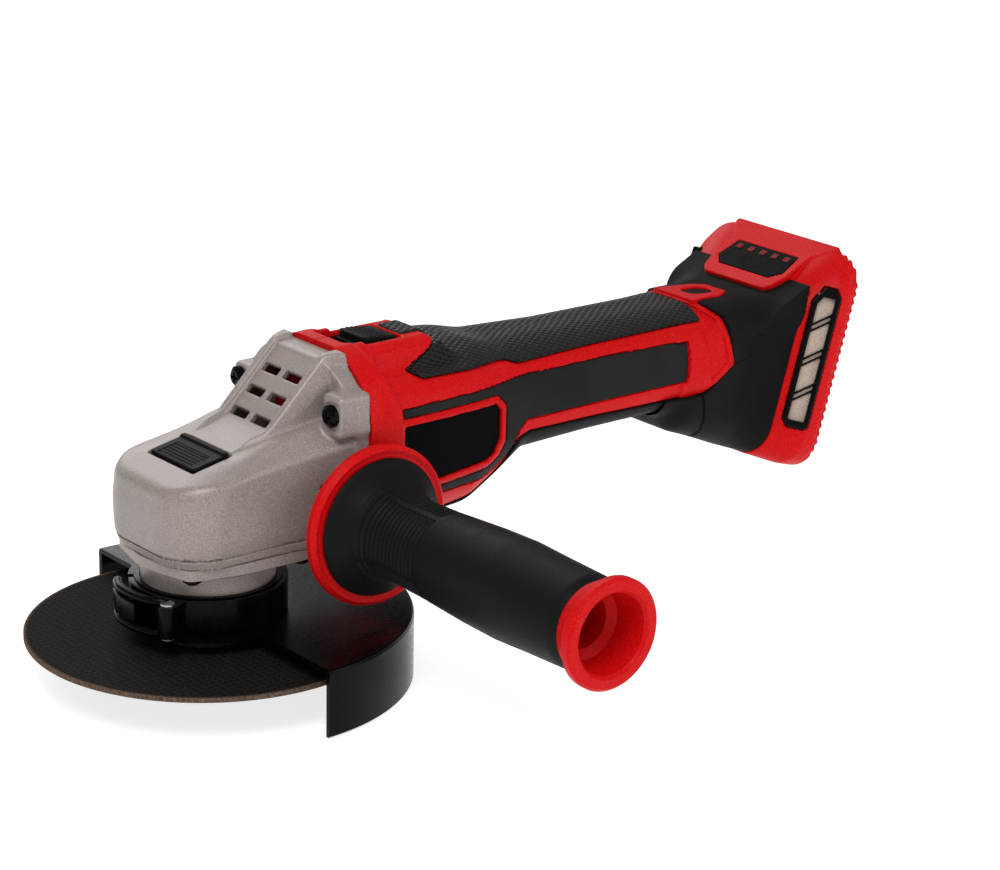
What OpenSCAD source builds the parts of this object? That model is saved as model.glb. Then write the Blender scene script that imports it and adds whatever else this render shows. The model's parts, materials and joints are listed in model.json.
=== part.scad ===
// Cordless angle grinder: gear head, brushless motor, body, battery dock, guard and side handle.
// The spindle runs along Z through the origin, the body runs towards +X and the side handle towards -Y.
// Heights named *_z count from the middle plane of the cutting disc.

/* [Disc and spindle] */
// Radius of the cutting disc
disc_r = 62.5; // [55:0.5:62.5]
// Thickness of the cutting disc
disc_t = 1.6; // [1:0.1:2]
// Radius of the disc's bore
disc_bore_r = 11.1; // [10:0.05:11.5]
// Radius of the spindle
spindle_r = 7; // [6:0.5:8]
// Radius of the clamping flanges
flange_r = 20; // [18:0.5:21]
// Height of the flange nut below the disc
nut_h = 7; // [5:0.5:9]
// Radius of the circle of spanner holes in the nut
spanner_circle_r = 15; // [14:0.5:16]
// Radius of a spanner hole
spanner_hole_r = 2.5; // [2:0.1:2.8]

/* [Guard] */
// Radial room between the disc's edge and the guard's skirt
guard_room = 5.7; // [4:0.1:8]
// Sheet thickness of the guard
guard_t = 1.8; // [1.2:0.1:2.4]
// Height of the guard's plate above the disc plane
guard_plate_z = 6; // [5:0.5:6.5]
// Depth of the skirt below the disc plane
skirt_depth = 16; // [12:1:20]
// Top of the guard's collar
collar_top_z = 20.5; // [18:0.5:21.5]

/* [Gear head] */
// Height of the motor axis
motor_z = 62; // [60:0.5:64]
// Outer radius of the neck that the guard turns on
neck_r = 23; // [22:0.25:24]
// Lowest point of the neck
neck_bottom_z = 8.5; // [8:0.25:10]
// Seam between gear housing and bearing flange
seam_z = 32; // [31:0.25:33]
// Thickness of the bearing flange's cover plate
cover_t = 3.6; // [3:0.1:4.2]
// Teeth on the crown gear
crown_teeth = 36; // [36:12:36]
// Teeth on the pinion
pinion_teeth = 12; // [12:4:12]
// Radius of the side handle's thread
handle_thread_r = 4; // [3.5:0.1:4.2]

/* [Side handle] */
// Handle axis, distance behind the spindle
handle_x = 40; // [38:0.5:42]
// Handle axis, height above the disc plane
handle_z = 41; // [40:0.5:42]
// Length of the handle from flange to end
handle_len = 126; // [115:1:135]
// Radius of the flange that guards the hand
handle_flange_r = 28; // [26:0.5:29]
// Radius of the ring at the end
handle_end_r = 18.4; // [18:0.2:20]
// Radius of the hollow at the end
handle_hollow_r = 13.4; // [11:0.2:13.6]

/* [Body] */
// Wall of the body shells
shell_wall = 2.4; // [2:0.1:2.8]
// Half width of the grip
grip_hw = 27; // [26:0.25:28]
// Thickness of the soft overmould
pad_t = 1.5; // [1:0.1:1.8]
// Travel of the switch slider
switch_travel = 6; // [4:0.5:6.5]
// Travel of the spindle lock button
lock_travel = 1.8; // [1.2:0.1:1.8]

/* [Battery dock] */
// Tilt of the battery dock from the vertical
dock_tilt = 16.3; // [14:0.1:18]
// Half width of the dock
dock_hw = 40; // [39:0.5:42]
// Dock centre to its lower edge, along its slope
dock_hh = 42; // [41:0.5:44]
// Dock centre to its upper edge, along its slope
dock_top = 40.8; // [40:0.1:42]
// Distance of the dock's face behind the spindle
dock_x = 258; // [256:0.5:262]
// Height of the dock's centre
dock_z = 58; // [57:0.5:59]
// Depth of the red frame
frame_depth = 17.4; // [16:0.2:19]
// Slope of the hood over the dock
hood_pitch = 25.7; // [24:0.1:27]

/* [Hidden] */
$fn = 64;
gap = 0.15;            // seat clearance between pieces that fit together
run = 0.3;             // running clearance between pieces that move
eps = 0.01;
base_z = nut_h + disc_t / 2;   // disc plane above the origin
n_arc = 6;             // points on a section's corner
handle_face_y = -36;   // outer face of the threaded boss

red = "#d8161c";
black = "#232325";
cast_grey = "#a39a94";
steel = "silver";

// ---------- shared shapes ----------

// Moves a piece that is drawn from the disc plane into the part's frame.
module from_disc() {
    translate([0, 0, base_z]) children();
}

// Closed solid through equal rings of points, each ring a list of [x, y, z].
// The ends are closed with strips between a ring's first and second half.
module skin(rings) {
    n = len(rings[0]);
    m = len(rings);
    points = [for (r = rings) for (p = r) p];
    sides = [for (k = [0 : m - 2]) for (i = [0 : n - 1])
        let (a = k * n + i, b = k * n + (i + 1) % n, c = a + n, d = b + n)
        for (t = [[a, c, b], [b, c, d]]) t];
    strips = [for (i = [0 : n / 2 - 2]) [i, i + 1, n - 2 - i, n - 1 - i]];
    last = (m - 1) * n;
    ends = [for (q = strips) for (t = [[q[0], q[1], q[3]], [q[1], q[2], q[3]]]) t];
    polyhedron(points, concat(ends, sides, [for (t = ends) [last + t[2], last + t[1], last + t[0]]]),
        convexity = 6);
}

// Half outline from the top centre to the bottom centre: [y, z] points of a rounded rectangle's half,
// with its upper and lower corner radius.
function half_outline(hw, low, high, r_up, r_low) = concat(
    [[0, high]],
    [for (i = [0 : n_arc]) let (a = 90 - 90 * i / n_arc)
        [hw - r_up + r_up * cos(a), high - r_up + r_up * sin(a)]],
    [for (i = [0 : n_arc]) let (a = -90 * i / n_arc)
        [hw - r_low + r_low * cos(a), low + r_low + r_low * sin(a)]],
    [[0, low]]);

// Whole rounded rectangle about the middle plane, as [y, z] points.
function outline(hw, low, high, r_up, r_low) = [for (q = [0 : 3]) for (i = [0 : n_arc])
    let (a = 90 * q + 90 * i / n_arc, r = q < 2 ? r_up : r_low, side = (q == 0 || q == 3) ? 1 : -1)
    [side * (hw - r) + r * cos(a), (q < 2 ? high - r : low + r) + r * sin(a)]];

// Washer-shaped tube.
module tube(h, ro, ri) {
    difference() {
        cylinder(h = h, r = ro);
        translate([0, 0, -1]) cylinder(h = h + 2, r = ri);
    }
}

// Deep-groove ball bearing along Z: both races with the shield between them.
module bearing(h, ro, ri) {
    step = (ro - ri) * 0.28;
    tube(h, ro, ro - step);
    tube(h, ri + step, ri);
    translate([0, 0, 0.6]) tube(h - 1.2, ro - step + eps, ri + step - eps);
}

// Cross-recessed pan head screw, head upwards, shaft below the head's seat at z = 0.
module pan_screw(head_r, shaft_r, length) {
    difference() {
        union() {
            cylinder(h = head_r * 0.35, r = head_r);
            translate([0, 0, head_r * 0.35]) cylinder(h = head_r * 0.3, r1 = head_r, r2 = head_r * 0.62);
            translate([0, 0, -length]) cylinder(h = length + eps, r = shaft_r);
        }
        for (a = [0, 90]) rotate(a) translate([-head_r * 0.5, -head_r * 0.12, head_r * 0.25])
            cube([head_r, head_r * 0.24, head_r]);
    }
}

// ---------- spindle group ----------

inner_flange_top_z = neck_bottom_z - 1;
lower_bearing_z = 12;
lower_bearing_h = 10;
lower_bearing_r = 16;
upper_bearing_h = 3.2;
upper_bearing_r = 6;
shaft_r_top = 3;
gear_seat_r = 6;
crown_bottom_z = 49;

module spindle() {
    color(steel) {
        translate([0, 0, -base_z + 1.2])
            cylinder(h = base_z + lower_bearing_z + lower_bearing_h, r = spindle_r - 1);
        translate([0, 0, disc_t / 2 + 2])
            cylinder(h = lower_bearing_z + lower_bearing_h - 3, r = spindle_r - gap);
        translate([0, 0, lower_bearing_z + lower_bearing_h])
            cylinder(h = crown_bottom_z - lower_bearing_z - lower_bearing_h, r = spindle_r + 1.5);
        translate([0, 0, crown_bottom_z - 1]) cylinder(h = crown_top_z - crown_bottom_z + 1, r = gear_seat_r);
        translate([0, 0, crown_top_z - 1])
            cylinder(h = roof_z + upper_bearing_h - crown_top_z + 0.8, r = shaft_r_top);
    }
}

module spindle_lower_bearing() {
    color(steel) translate([0, 0, lower_bearing_z]) bearing(lower_bearing_h, lower_bearing_r, spindle_r);
}

module spindle_upper_bearing() {
    color(steel) translate([0, 0, roof_z]) bearing(upper_bearing_h, upper_bearing_r, shaft_r_top + 0.05);
}

// Bevel pair: the cone apex is where the motor axis meets the spindle axis.
gear_module = 1.1;
crown_pitch_r = crown_teeth * gear_module / 2;
pinion_pitch_r = pinion_teeth * gear_module / 2;
crown_tip = 2.5;       // radial tooth height over the pitch circle
crown_root = 3.6;      // radial tooth depth under the pitch circle
pinion_tip = 0.78;
pinion_root = 1.25;
tooth_share = 0.34;    // tooth thickness at the pitch circle as a share of the pitch
crown_rim_r = crown_pitch_r + 2.8;
cone_inner = 0.7;      // inner end of the teeth as a share of the outer end
crown_top_z = motor_z - pinion_pitch_r * cone_inner;
roof_z = crown_top_z + 0.45;
lock_hole_r = 1.8;
lock_circle_r = 9.2;
lock_pin_r = 1.4;

// Outline of a gear in the plane of its outer end.
function gear_points(teeth, pitch_r, tip, root) = [for (k = [0 : teeth - 1])
    let (p = 360 / teeth, w = p * tooth_share / 2)
    for (c = [[pitch_r - root, -w * 1.45], [pitch_r, -w], [pitch_r + tip, -w * 0.5],
              [pitch_r + tip, w * 0.5], [pitch_r, w], [pitch_r - root, w * 1.45]])
    [c[0] * cos(k * p + c[1]), c[0] * sin(k * p + c[1])]];

module crown_gear() {
    outer = pinion_pitch_r * 1.22;
    inner = pinion_pitch_r * cone_inner;
    color("dimgray") difference() {
        union() {
            translate([0, 0, crown_bottom_z])
                cylinder(h = motor_z - outer - crown_bottom_z + eps, r = crown_rim_r);
            translate([0, 0, crown_bottom_z]) cylinder(h = crown_top_z - crown_bottom_z, r = 10.4);
            intersection() {
                translate([0, 0, motor_z - outer]) rotate(180 / crown_teeth)
                    linear_extrude(height = outer - inner, scale = inner / outer)
                        scale(outer / pinion_pitch_r) polygon(gear_points(crown_teeth, crown_pitch_r,
                            crown_tip, crown_root));
                translate([0, 0, motor_z - 30]) cylinder(h = 40, r = crown_rim_r);
            }
        }
        translate([0, 0, crown_bottom_z - 5]) cylinder(h = 30, r = gear_seat_r);
        for (a = [0 : 45 : 315]) rotate(a) translate([lock_circle_r, 0, crown_top_z - 3.2])
            cylinder(h = 6, r = lock_hole_r);
    }
}

module pinion_gear() {
    inner_x = crown_pitch_r * cone_inner;
    color("dimgray") translate([inner_x, 0, motor_z]) rotate([0, 90, 0]) difference() {
        union() {
            rotate(0) mirror([0, 0, 1]) translate([0, 0, -(crown_pitch_r - inner_x)])
                linear_extrude(height = crown_pitch_r - inner_x, scale = cone_inner)
                    polygon(gear_points(pinion_teeth, pinion_pitch_r, pinion_tip, pinion_root));
            translate([0, 0, crown_pitch_r - inner_x - eps]) cylinder(h = 3, r = pinion_pitch_r - 0.6);
        }
        translate([0, 0, -5]) cylinder(h = 30, r = 3);
    }
}

module inner_flange() {
    color("dimgray") difference() {
        union() {
            translate([0, 0, disc_t / 2]) cylinder(h = inner_flange_top_z - disc_t / 2, r = flange_r - 3);
            translate([0, 0, disc_t / 2]) cylinder(h = 3, r = flange_r);
            translate([0, 0, -disc_t / 2 + 0.1]) cylinder(h = disc_t, r = disc_bore_r - 0.05);
        }
        translate([0, 0, -10]) cylinder(h = 30, r = spindle_r);
    }
}

module cutting_disc() {
    color("#1d1c1c") translate([0, 0, -disc_t / 2]) tube(disc_t, disc_r, disc_bore_r);
}

module flange_nut() {
    color("dimgray") translate([0, 0, -base_z]) difference() {
        union() {
            cylinder(h = nut_h, r = flange_r);
        }
        translate([0, 0, -1]) cylinder(h = nut_h + 2, r = spindle_r - 1);
        for (a = [45 : 90 : 315]) rotate(a) translate([spanner_circle_r, 0, -1])
            cylinder(h = 5, r = spanner_hole_r);
    }
}

// ---------- guard ----------

guard_r = disc_r + guard_room + guard_t;
collar_ri = neck_r + run;
collar_ro = collar_ri + 1.8;

// Sheet guard: half plate, skirt and the collar that turns on the neck.
module guard() {
    color("#151515") {
        difference() {
            union() {
                translate([0, 0, guard_plate_z]) cylinder(h = collar_top_z - guard_plate_z, r = collar_ro);
                translate([0, 0, guard_plate_z]) cylinder(h = guard_t, r = collar_ro + 4);
                translate([0, 0, guard_plate_z]) rotate([0, 0, -90])
                    rotate_extrude(angle = 180) square([guard_r - 1, guard_t]);
                rotate([0, 0, -90]) rotate_extrude(angle = 180) polygon([
                    [guard_r - guard_t, -skirt_depth], [guard_r - 0.6, -skirt_depth],
                        [guard_r, -skirt_depth + 0.6],
                    [guard_r, guard_plate_z + guard_t - 1.4], [guard_r - 0.4, guard_plate_z + guard_t - 0.4],
                    [guard_r - 1.4, guard_plate_z + guard_t], [guard_r - 3, guard_plate_z + guard_t],
                    [guard_r - guard_t, guard_plate_z]]);
            }
            translate([0, 0, guard_plate_z - 1]) cylinder(h = 40, r = collar_ri);
        }
    }
}

band_ri = collar_ro + 0.1;
band_ro = band_ri + 1.8;
band_z = 9;
band_h = 11;
lever_pin = [-27.5, -17, 0];

// Clamp band round the collar, with the ear that carries the lever's pin.
module guard_clamp_band() {
    color("#1a1a1a") difference() {
        union() {
            translate([0, 0, band_z]) cylinder(h = band_h, r = band_ro);
            for (z = [band_z, band_z + band_h - 2.2]) translate([0, 0, z]) hull() {
                translate(lever_pin) cylinder(h = 2.2, r = 3.4, $fn = 32);
                translate([-22, -14, 0]) cylinder(h = 2.2, r = 4, $fn = 32);
            }
        }
        translate([0, 0, band_z - 1]) cylinder(h = band_h + 2, r = band_ri);
        translate([lever_pin[0], lever_pin[1], band_z - 1]) cylinder(h = band_h + 2, r = 1.5);
        rotate([0, 0, 150]) translate([24, -1.5, band_z - 1]) cube([8, 3, band_h + 2]);
    }
}

// Flat ring sector between two angles.
module sector(r_in, r_out, from, to) {
    mid = (from + to) / 2;
    intersection() {
        difference() {
            circle(r = r_out);
            circle(r = r_in);
        }
        polygon([[0, 0], 2 * r_out * [cos(from), sin(from)], 3 * r_out * [cos(mid), sin(mid)],
            2 * r_out * [cos(to), sin(to)]]);
    }
}

// Curved over-centre lever that lies round the band.
module clamp_lever() {
    color("#1a1a1a") difference() {
        union() {
            translate([0, 0, band_z + 2.4]) linear_extrude(height = band_h - 4.8) {
                sector(band_ro + 0.6, band_ro + 4, 146, 211);
                translate([lever_pin[0], lever_pin[1]]) circle(r = 3.2);
            }
            translate([0, 0, band_z - 0.6]) linear_extrude(height = band_h + 1.2)
                sector(band_ro + 2.5, band_ro + 5.6, 148, 188);
        }
        translate([lever_pin[0], lever_pin[1], band_z - 1]) cylinder(h = band_h + 2, r = 1.55);
    }
}

module clamp_pin() {
    color(steel) translate([lever_pin[0], lever_pin[1], band_z - 0.6]) {
        cylinder(h = band_h + 1.2, r = 1.5 - 0.02);
        translate([0, 0, band_h + 0.6]) cylinder(h = 0.8, r = 2.4);
        translate([0, 0, -0.2]) cylinder(h = 0.8, r = 2.4);
    }
}

// ---------- gear head ----------

body_x0 = 44;          // seam between gear housing and body shells
cavity_r = crown_rim_r + 1.2;

// A thin rounded plate in plan, one layer of the casting's outer form.
module head_layer(z, front, side, back, r) {
    translate([0, 0, z]) linear_extrude(height = 0.2)
        polygon(concat(
            [for (i = [0 : 5]) let (a = 90 + 15 * i) [front + r + r * cos(a), side - r + r * sin(a)]],
            [for (i = [0 : 5]) let (a = 180 + 15 * i) [front + r + r * cos(a), -side + r + r * sin(a)]],
            [[back, -side], [back, side]]));
}

module head_form() {
    hull() {
        head_layer(seam_z, -26, 26, 20, 19);
        head_layer(seam_z + 8, -27.5, 27.2, 20, 20);
        head_layer(seam_z + 24.6, -27, 27, 20, 20);
        head_layer(seam_z + 28.4, -22.5, 23, 4, 17);
        head_layer(seam_z + 34, 3, 19, 20, 9);
    }
    hull() {
        head_layer(seam_z, -6, 27, body_x0 - 8, 10);
        head_layer(seam_z + 25, -4, 29.5, body_x0, 10);
        head_layer(seam_z + 39, 10, 25, body_x0, 8);
        head_layer(motor_z + 30, 35, 17, body_x0, 3);
    }
    hull() for (x = [body_x0 - 12, body_x0 - 0.2]) translate([x, 0, motor_z]) rotate([0, 90, 0])
        cylinder(h = 0.2, r = x > body_x0 - 5 ? 31.5 : 29.5, $fn = 32);
}

screw_yz = [[-27, 15], [27, 15], [-27, -13], [27, -13]];
screw_seat_x = 32;
boss_r = 10;
room_x = body_x0 - 4;

// Cast gear housing with the gear cavity, handle bosses, vent slots and button seat.
module gear_housing() {
    slope = 51;
    color(cast_grey) difference() {
        union() {
            head_form();
            translate([handle_x, handle_face_y, handle_z]) rotate([-90, 0, 0])
                cylinder(h = -2 * handle_face_y, r = boss_r);
            for (p = screw_yz) translate([screw_seat_x, p[0], motor_z + p[1]]) rotate([0, 90, 0])
                cylinder(h = body_x0 - screw_seat_x, r = 4.8);
        }
        // gear cavity, bearing seats and the motor's opening
        translate([0, 0, seam_z - 1]) cylinder(h = roof_z - seam_z + 1, r = cavity_r);
        translate([0, 0, roof_z - eps]) cylinder(h = upper_bearing_h + eps, r = upper_bearing_r);
        along_motor(shaft_x0 - run) cylinder(h = 20, r = 9);
        along_motor(front_bearing_x - 0.1) cylinder(h = 20, r = 11);
        along_motor(room_x) cylinder(h = 10, r = 28);
        // threaded holes for the side handle, one on each side
        for (s = [-1, 1]) translate([handle_x, s * 24 + (s > 0 ? 0 : -20), handle_z]) rotate([-90, 0, 0])
            cylinder(h = 20, r = handle_thread_r);
        // vent slots through the sloping face
        for (side = [-1, 1]) for (k = [0 : 2])
            translate([16.5 + 7.2 * k, side * 6.2, seam_z + 42.5 + 8.2 * k])
            rotate([0, slope - 90, 0]) cube([20, 8.4, 3.6], center = true);
        // window for the lock button, with the bore for its pin
        translate([-14.6, -13.7, lock_floor_z]) cube([6.8, 27.4, 12]);
        translate([-lock_circle_r, 0, lock_floor_z]) cylinder(h = 12, r = spring_r + run);
        translate([-7.8 - eps, -13.7, lock_step_z]) cube([8.6, 27.4, 12]);
        translate([-lock_circle_r, 0, roof_z - 1]) cylinder(h = 6, r = lock_pin_r + 0.05);
        // screw holes
        for (p = screw_yz) {
            translate([screw_seat_x - 1, p[0], motor_z + p[1]]) rotate([0, 90, 0]) cylinder(h = 20, r = 2);
            translate([screw_seat_x - 9, p[0], motor_z + p[1]]) rotate([0, 90, 0]) cylinder(h = 9, r = 4.3);
            translate([screw_seat_x - 9, p[0] > 0 ? p[0] : p[0] - 12, motor_z + p[1] - 4.3])
                cube([9, 12, 8.6]);
        }
        for (p = flange_screw_xy) translate([p[0], p[1], seam_z - 1]) cylinder(h = 9, r = 1.7);
    }
}

flange_screw_xy = [[-18.6, -18.6], [-18.6, 18.6], [22, -23], [22, 23]];

// Bearing flange: cover plate under the housing, and the neck with the lower bearing's seat.
module bearing_flange() {
    color(cast_grey) difference() {
        union() {
            translate([0, 0, seam_z - cover_t - gap]) linear_extrude(height = cover_t) hull() {
                for (p = flange_screw_xy) translate(p) circle(r = 4, $fn = 32);
                circle(r = 26.5);
            }
            translate([0, 0, neck_bottom_z]) cylinder(h = seam_z - cover_t - neck_bottom_z, r = neck_r);
            translate([0, 0, seam_z - cover_t - 2]) cylinder(h = 2.2, r1 = neck_r, r2 = neck_r + 2);
        }
        translate([0, 0, neck_bottom_z - 1]) cylinder(h = 40, r = spindle_r + 3);
        translate([0, 0, lower_bearing_z - eps]) cylinder(h = 40, r = lower_bearing_r);
        for (p = flange_screw_xy) translate([p[0], p[1], seam_z - cover_t - gap - 4]) {
            cylinder(h = 4, r = 3.6);
            cylinder(h = 12, r = 1.7);
        }
    }
}

module flange_screws() {
    color(black) for (p = flange_screw_xy) translate([p[0], p[1], seam_z - cover_t - gap])
        rotate([180, 0, 0]) pan_screw(3.3, 1.65, 9);
}

module head_screws() {
    color(black) for (p = screw_yz) translate([screw_seat_x, p[0], motor_z + p[1]])
        rotate([0, -90, 0]) pan_screw(3.9, 1.9, 20);
}

button_slope = 11.4;
lock_floor_z = 59;
lock_step_z = roof_z + upper_bearing_h - 0.1;
lock_pin_tip_z = crown_top_z + 0.6;
spring_r = 2.5;
boss_z = lock_floor_z + lock_travel + 0.2;   // underside of the button's boss
button_z = boss_z + 3.4;                     // middle of the button's top

// Spindle lock button on the head's top; it slides down against its spring.
module lock_button() {
    color(black) difference() {
        union() {
            intersection() {
                translate([-7, 0, button_z]) rotate([0, -button_slope, 0]) translate([0, 0, -0.6])
                    difference() {
                    cube([16, 30, 1.2], center = true);
                    for (k = [-2 : 2]) translate([-3 + k * 1.6, -4, 0.25]) cube([0.7, 8, 2]);
                }
                translate([-6.9, 0, button_z]) cube([14.6, 26.8, 12], center = true);
            }
            translate([-lock_circle_r, 0, boss_z]) cylinder(h = 2.1, r = spring_r);
        }
        translate([-lock_circle_r, 0, boss_z - 5]) cylinder(h = 6, r = lock_pin_r);
    }
}

module lock_pin() {
    color(steel) translate([-lock_circle_r, 0, lock_pin_tip_z])
        cylinder(h = boss_z + 1 - lock_pin_tip_z, r = lock_pin_r);
}

module lock_spring() {
    turn = 0.55;
    rise = (boss_z - lock_floor_z - turn) / 2;
    color(steel) translate([-lock_circle_r, 0, lock_floor_z]) for (k = [0 : 2])
        translate([0, 0, k * rise]) tube(turn, spring_r, lock_pin_r + run);
}

// ---------- motor ----------

// Places children drawn along Z on the motor's axis.
module along_motor(x) {
    translate([x, 0, motor_z]) rotate([0, 90, 0]) children();
}

rotor_r = 13.5;
stator_r = 25;
stator_x = 56;
stator_len = 26;
yoke_t = 4;            // thickness of the stator's outer ring
coil_hw = 5.2;         // half width of a coil
fan_x = 43.7;
fan_r = 22.5;
shaft_r = 3;
rear_bearing_x = 102;
front_bearing_x = 31.5;
shaft_x0 = crown_pitch_r * cone_inner - 1.5;

module motor_shaft() {
    color(steel) along_motor(shaft_x0) cylinder(h = rear_bearing_x + 6.5 - shaft_x0, r = shaft_r);
}

module rotor_core() {
    color("gray") along_motor(stator_x + 1) difference() {
        cylinder(h = stator_len - 2, r = rotor_r - 0.5);
        translate([0, 0, -1]) cylinder(h = 50, r = shaft_r);
        for (a = [0 : 45 : 315]) rotate(a) translate([8.5, 0, -1]) cylinder(h = 50, r = 1.5);
    }
}

module fan() {
    color(black) along_motor(fan_x) difference() {
        union() {
            cylinder(h = 9, r = 7);
            translate([0, 0, 7.5]) cylinder(h = 1.5, r = fan_r);
            for (a = [0 : 36 : 324]) rotate(a) translate([6, -0.7, 0]) cube([fan_r - 7, 1.4, 8]);
        }
        translate([0, 0, -1]) cylinder(h = 20, r = shaft_r);
    }
}

module front_motor_bearing() {
    color(steel) along_motor(front_bearing_x) bearing(7, 11, shaft_r);
}

module rear_motor_bearing() {
    color(steel) along_motor(rear_bearing_x) bearing(6, 9.5, shaft_r);
}

module stator_core() {
    shoe_r = rotor_r + 3.2;
    color("gray") along_motor(stator_x) linear_extrude(height = stator_len) {
        difference() {
            circle(r = stator_r);
            circle(r = stator_r - yoke_t);
        }
        for (a = [0 : 60 : 300]) rotate(a) translate([shoe_r - 1.2, -3]) square([stator_r - shoe_r - 1.8, 6]);
        for (a = [0 : 60 : 300]) rotate(a) intersection() {
            difference() {
                circle(r = shoe_r);
                circle(r = rotor_r + 0.8);
            }
            translate([8, -6]) square([12, 12]);
        }
    }
}

// Copper coils, one round each stator tooth.
module stator_windings() {
    coil_in = rotor_r + 3.6;
    coil_out = sqrt(pow(stator_r - yoke_t - gap, 2) - pow(coil_hw, 2));
    color("#b5651d") for (a = [0 : 60 : 300]) along_motor(stator_x) rotate(a) difference() {
        translate([coil_in, -coil_hw, -3]) cube([coil_out - coil_in, 2 * coil_hw, stator_len + 6]);
        translate([rotor_r, -3.1, -0.3]) cube([12, 6.2, stator_len + 0.6]);
    }
}

// Ring that guides the air from the fan to the vents.
module fan_baffle() {
    color(red) along_motor(room_x + 0.2) difference() {
        cylinder(h = 3, r = 27.8);
        translate([0, 0, -1]) cylinder(h = 10, r = 14);
    }
}

// ---------- body shells ----------

// Stations of the body: [x, half width, bottom, top, upper corner radius, lower corner radius]
body_stations = [
    [body_x0 + gap, 31.5, 30.5, 93, 24, 24],
    [62, 32.5, 29.5, 93, 24, 24],
    [78, 32, 29, 92.5, 24, 23],
    [84, 31.7, 29.3, 91, 24, 22.5],
    [93, 31, 30.2, 85.8, 23.5, 22],
    [106, 29.5, 37.5, 84.3, 23, 19],
    [117, 28, 47, 84, 23, 13],
    [150, grip_hw, 47.5, 82.7, 23, 12],
    [196, grip_hw, 47.5, 82.4, 23, 12],
    [214, grip_hw + 1, 47, 82.2, 22, 13]];

function half_ring(s, side, grow) =
    [for (p = half_outline(s[1] + grow, s[2] - grow, s[3] + grow, s[4] + grow, s[5] + grow))
    [s[0], side * p[0], p[1]]];

// Station at any place along the body.
function station(x) = [x, for (k = [1 : 5]) lookup(x, [for (s = body_stations) [s[0], s[k]]])];

function reversed(list) = [for (i = [len(list) - 1 : -1 : 0]) list[i]];

// Whole ring of a station, on both sides of the seam.
function full_ring(s, grow) =
    [for (p = outline(s[1] + grow, s[2] - grow, s[3] + grow, s[4] + grow, s[5] + grow))
    [s[0], p[0], p[1]]];

// Solid half body up to the seam plane.
module half_solid(side) {
    skin([for (s = body_stations) let (ring = half_ring(s, side, 0)) side > 0 ? reversed(ring) : ring]);
}

// The room inside both shells, open at both ends.
module body_room() {
    first = body_stations[0];
    last = body_stations[len(body_stations) - 1];
    skin([for (s = concat([concat([first[0] - 1], [for (k = [1 : 5]) first[k]])], body_stations,
        [concat([last[0] + 1], [for (k = [1 : 5]) last[k]])])) full_ring(s, -shell_wall)]);
}

// Ribs that hold the motor: [x, thickness, radius of the hole].
ribs = [
    [stator_x + 2, 3, stator_r + gap],
    [stator_x + stator_len - 3.4, 3, stator_r + gap],
    [rear_bearing_x + 0.5, 5, 9.5]];

slider_x = 60.5;       // front of the slider's plate lies 2 before this
slider_len = 17;
switch_window = [slider_x - 4.5 - switch_travel, slider_x + slider_len - 1.5];   // x range of the window
switch_hw = 9;

module body_shell(side) {
    color(red) difference() {
        union() {
            half_solid(side);
            for (p = screw_yz) if (p[0] * side > 0) translate([body_x0 + gap, p[0], motor_z + p[1]])
                rotate([0, 90, 0]) cylinder(h = 11, r1 = 3.4, r2 = 2.4);
        }
        difference() {
            body_room();
            for (r = ribs) along_motor(r[0]) tube(r[1], 60, r[2]);
            for (x = shell_screw_x) translate([x, -30, shell_screw_z]) rotate([-90, 0, 0])
                cylinder(h = 60, r = 3.4);
            for (p = screw_yz) translate([body_x0 - 1, p[0], motor_z + p[1]]) rotate([0, 90, 0])
                cylinder(h = 12, r = 3.3);
        }
        for (p = screw_yz) translate([body_x0 - 1, p[0], motor_z + p[1]]) rotate([0, 90, 0])
            cylinder(h = 9.4, r = 1.9);
        translate([handle_x, -45, handle_z]) rotate([-90, 0, 0]) cylinder(h = 90, r = boss_r + gap);
        translate([switch_window[0], -switch_hw, 88])
            cube([switch_window[1] - switch_window[0], 2 * switch_hw, 12]);
        for (x = shell_screw_x) translate([x, -40, shell_screw_z]) rotate([-90, 0, 0])
            cylinder(h = 80, r = 1.5);
        for (x = shell_screw_x) translate([x, 23, shell_screw_z]) rotate([-90, 0, 0])
            cylinder(h = 22, r = 3.2);
    }
}

shell_screw_x = [124, 182];
shell_screw_z = 53.5;

module shell_screws() {
    color(black) for (x = shell_screw_x) translate([x, 23, shell_screw_z]) rotate([-90, 0, 0])
        pan_screw(2.9, 1.4, 20);
}

// A patch on the body's side: points i0 to i1 of each station's outline, from low to high above the shell.
module pad(side, stations, i0, i1, low, high) {
    rings = [for (s = stations)
        let (outer = half_ring(s, side, high), inner = half_ring(s, side, low),
             ring = concat([for (i = [i0 : i1]) outer[i]], [for (i = [i1 : -1 : i0]) inner[i]]))
        side > 0 ? reversed(ring) : ring];
    skin(rings);
}

panel_stations = [station(113), station(117), station(150), station(194)];

module side_grip(side) {
    color(black)
        pad(side, panel_stations, 4, 8, gap, pad_t / 2);
}

module label(side) {
    color("#101010") pad(side, [for (x = [70, 78, 84, 93]) station(x)], 6, 9, gap, 0.9);
}

// Soft grip over the top of the handle.
module top_grip() {
    stations = [for (x = [88, 93, 106, 117, 150, 196, 202]) station(x)];
    color(black) {
        pad(1, stations, 0, 3, gap, pad_t);
        pad(-1, stations, 0, 3, gap, pad_t);
    }
}

// ---------- switch and electronics ----------

tray_top_z = 89.9;

// Slide switch: thumb pad on a plate that runs on the tray.
module switch_slider() {
    color(black) {
        translate([slider_x - 2, -switch_hw + 2 * run, tray_top_z + run])
            cube([slider_len, 2 * (switch_hw - 2 * run), 1.6]);
        hull() {
            translate([slider_x + 1, -7, tray_top_z + run + 1.4]) cube([13, 14, 0.2]);
            translate([slider_x + 4, -6, tray_top_z + run + 4.6]) cube([7.5, 12, 0.2]);
        }
    }
}

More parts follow.
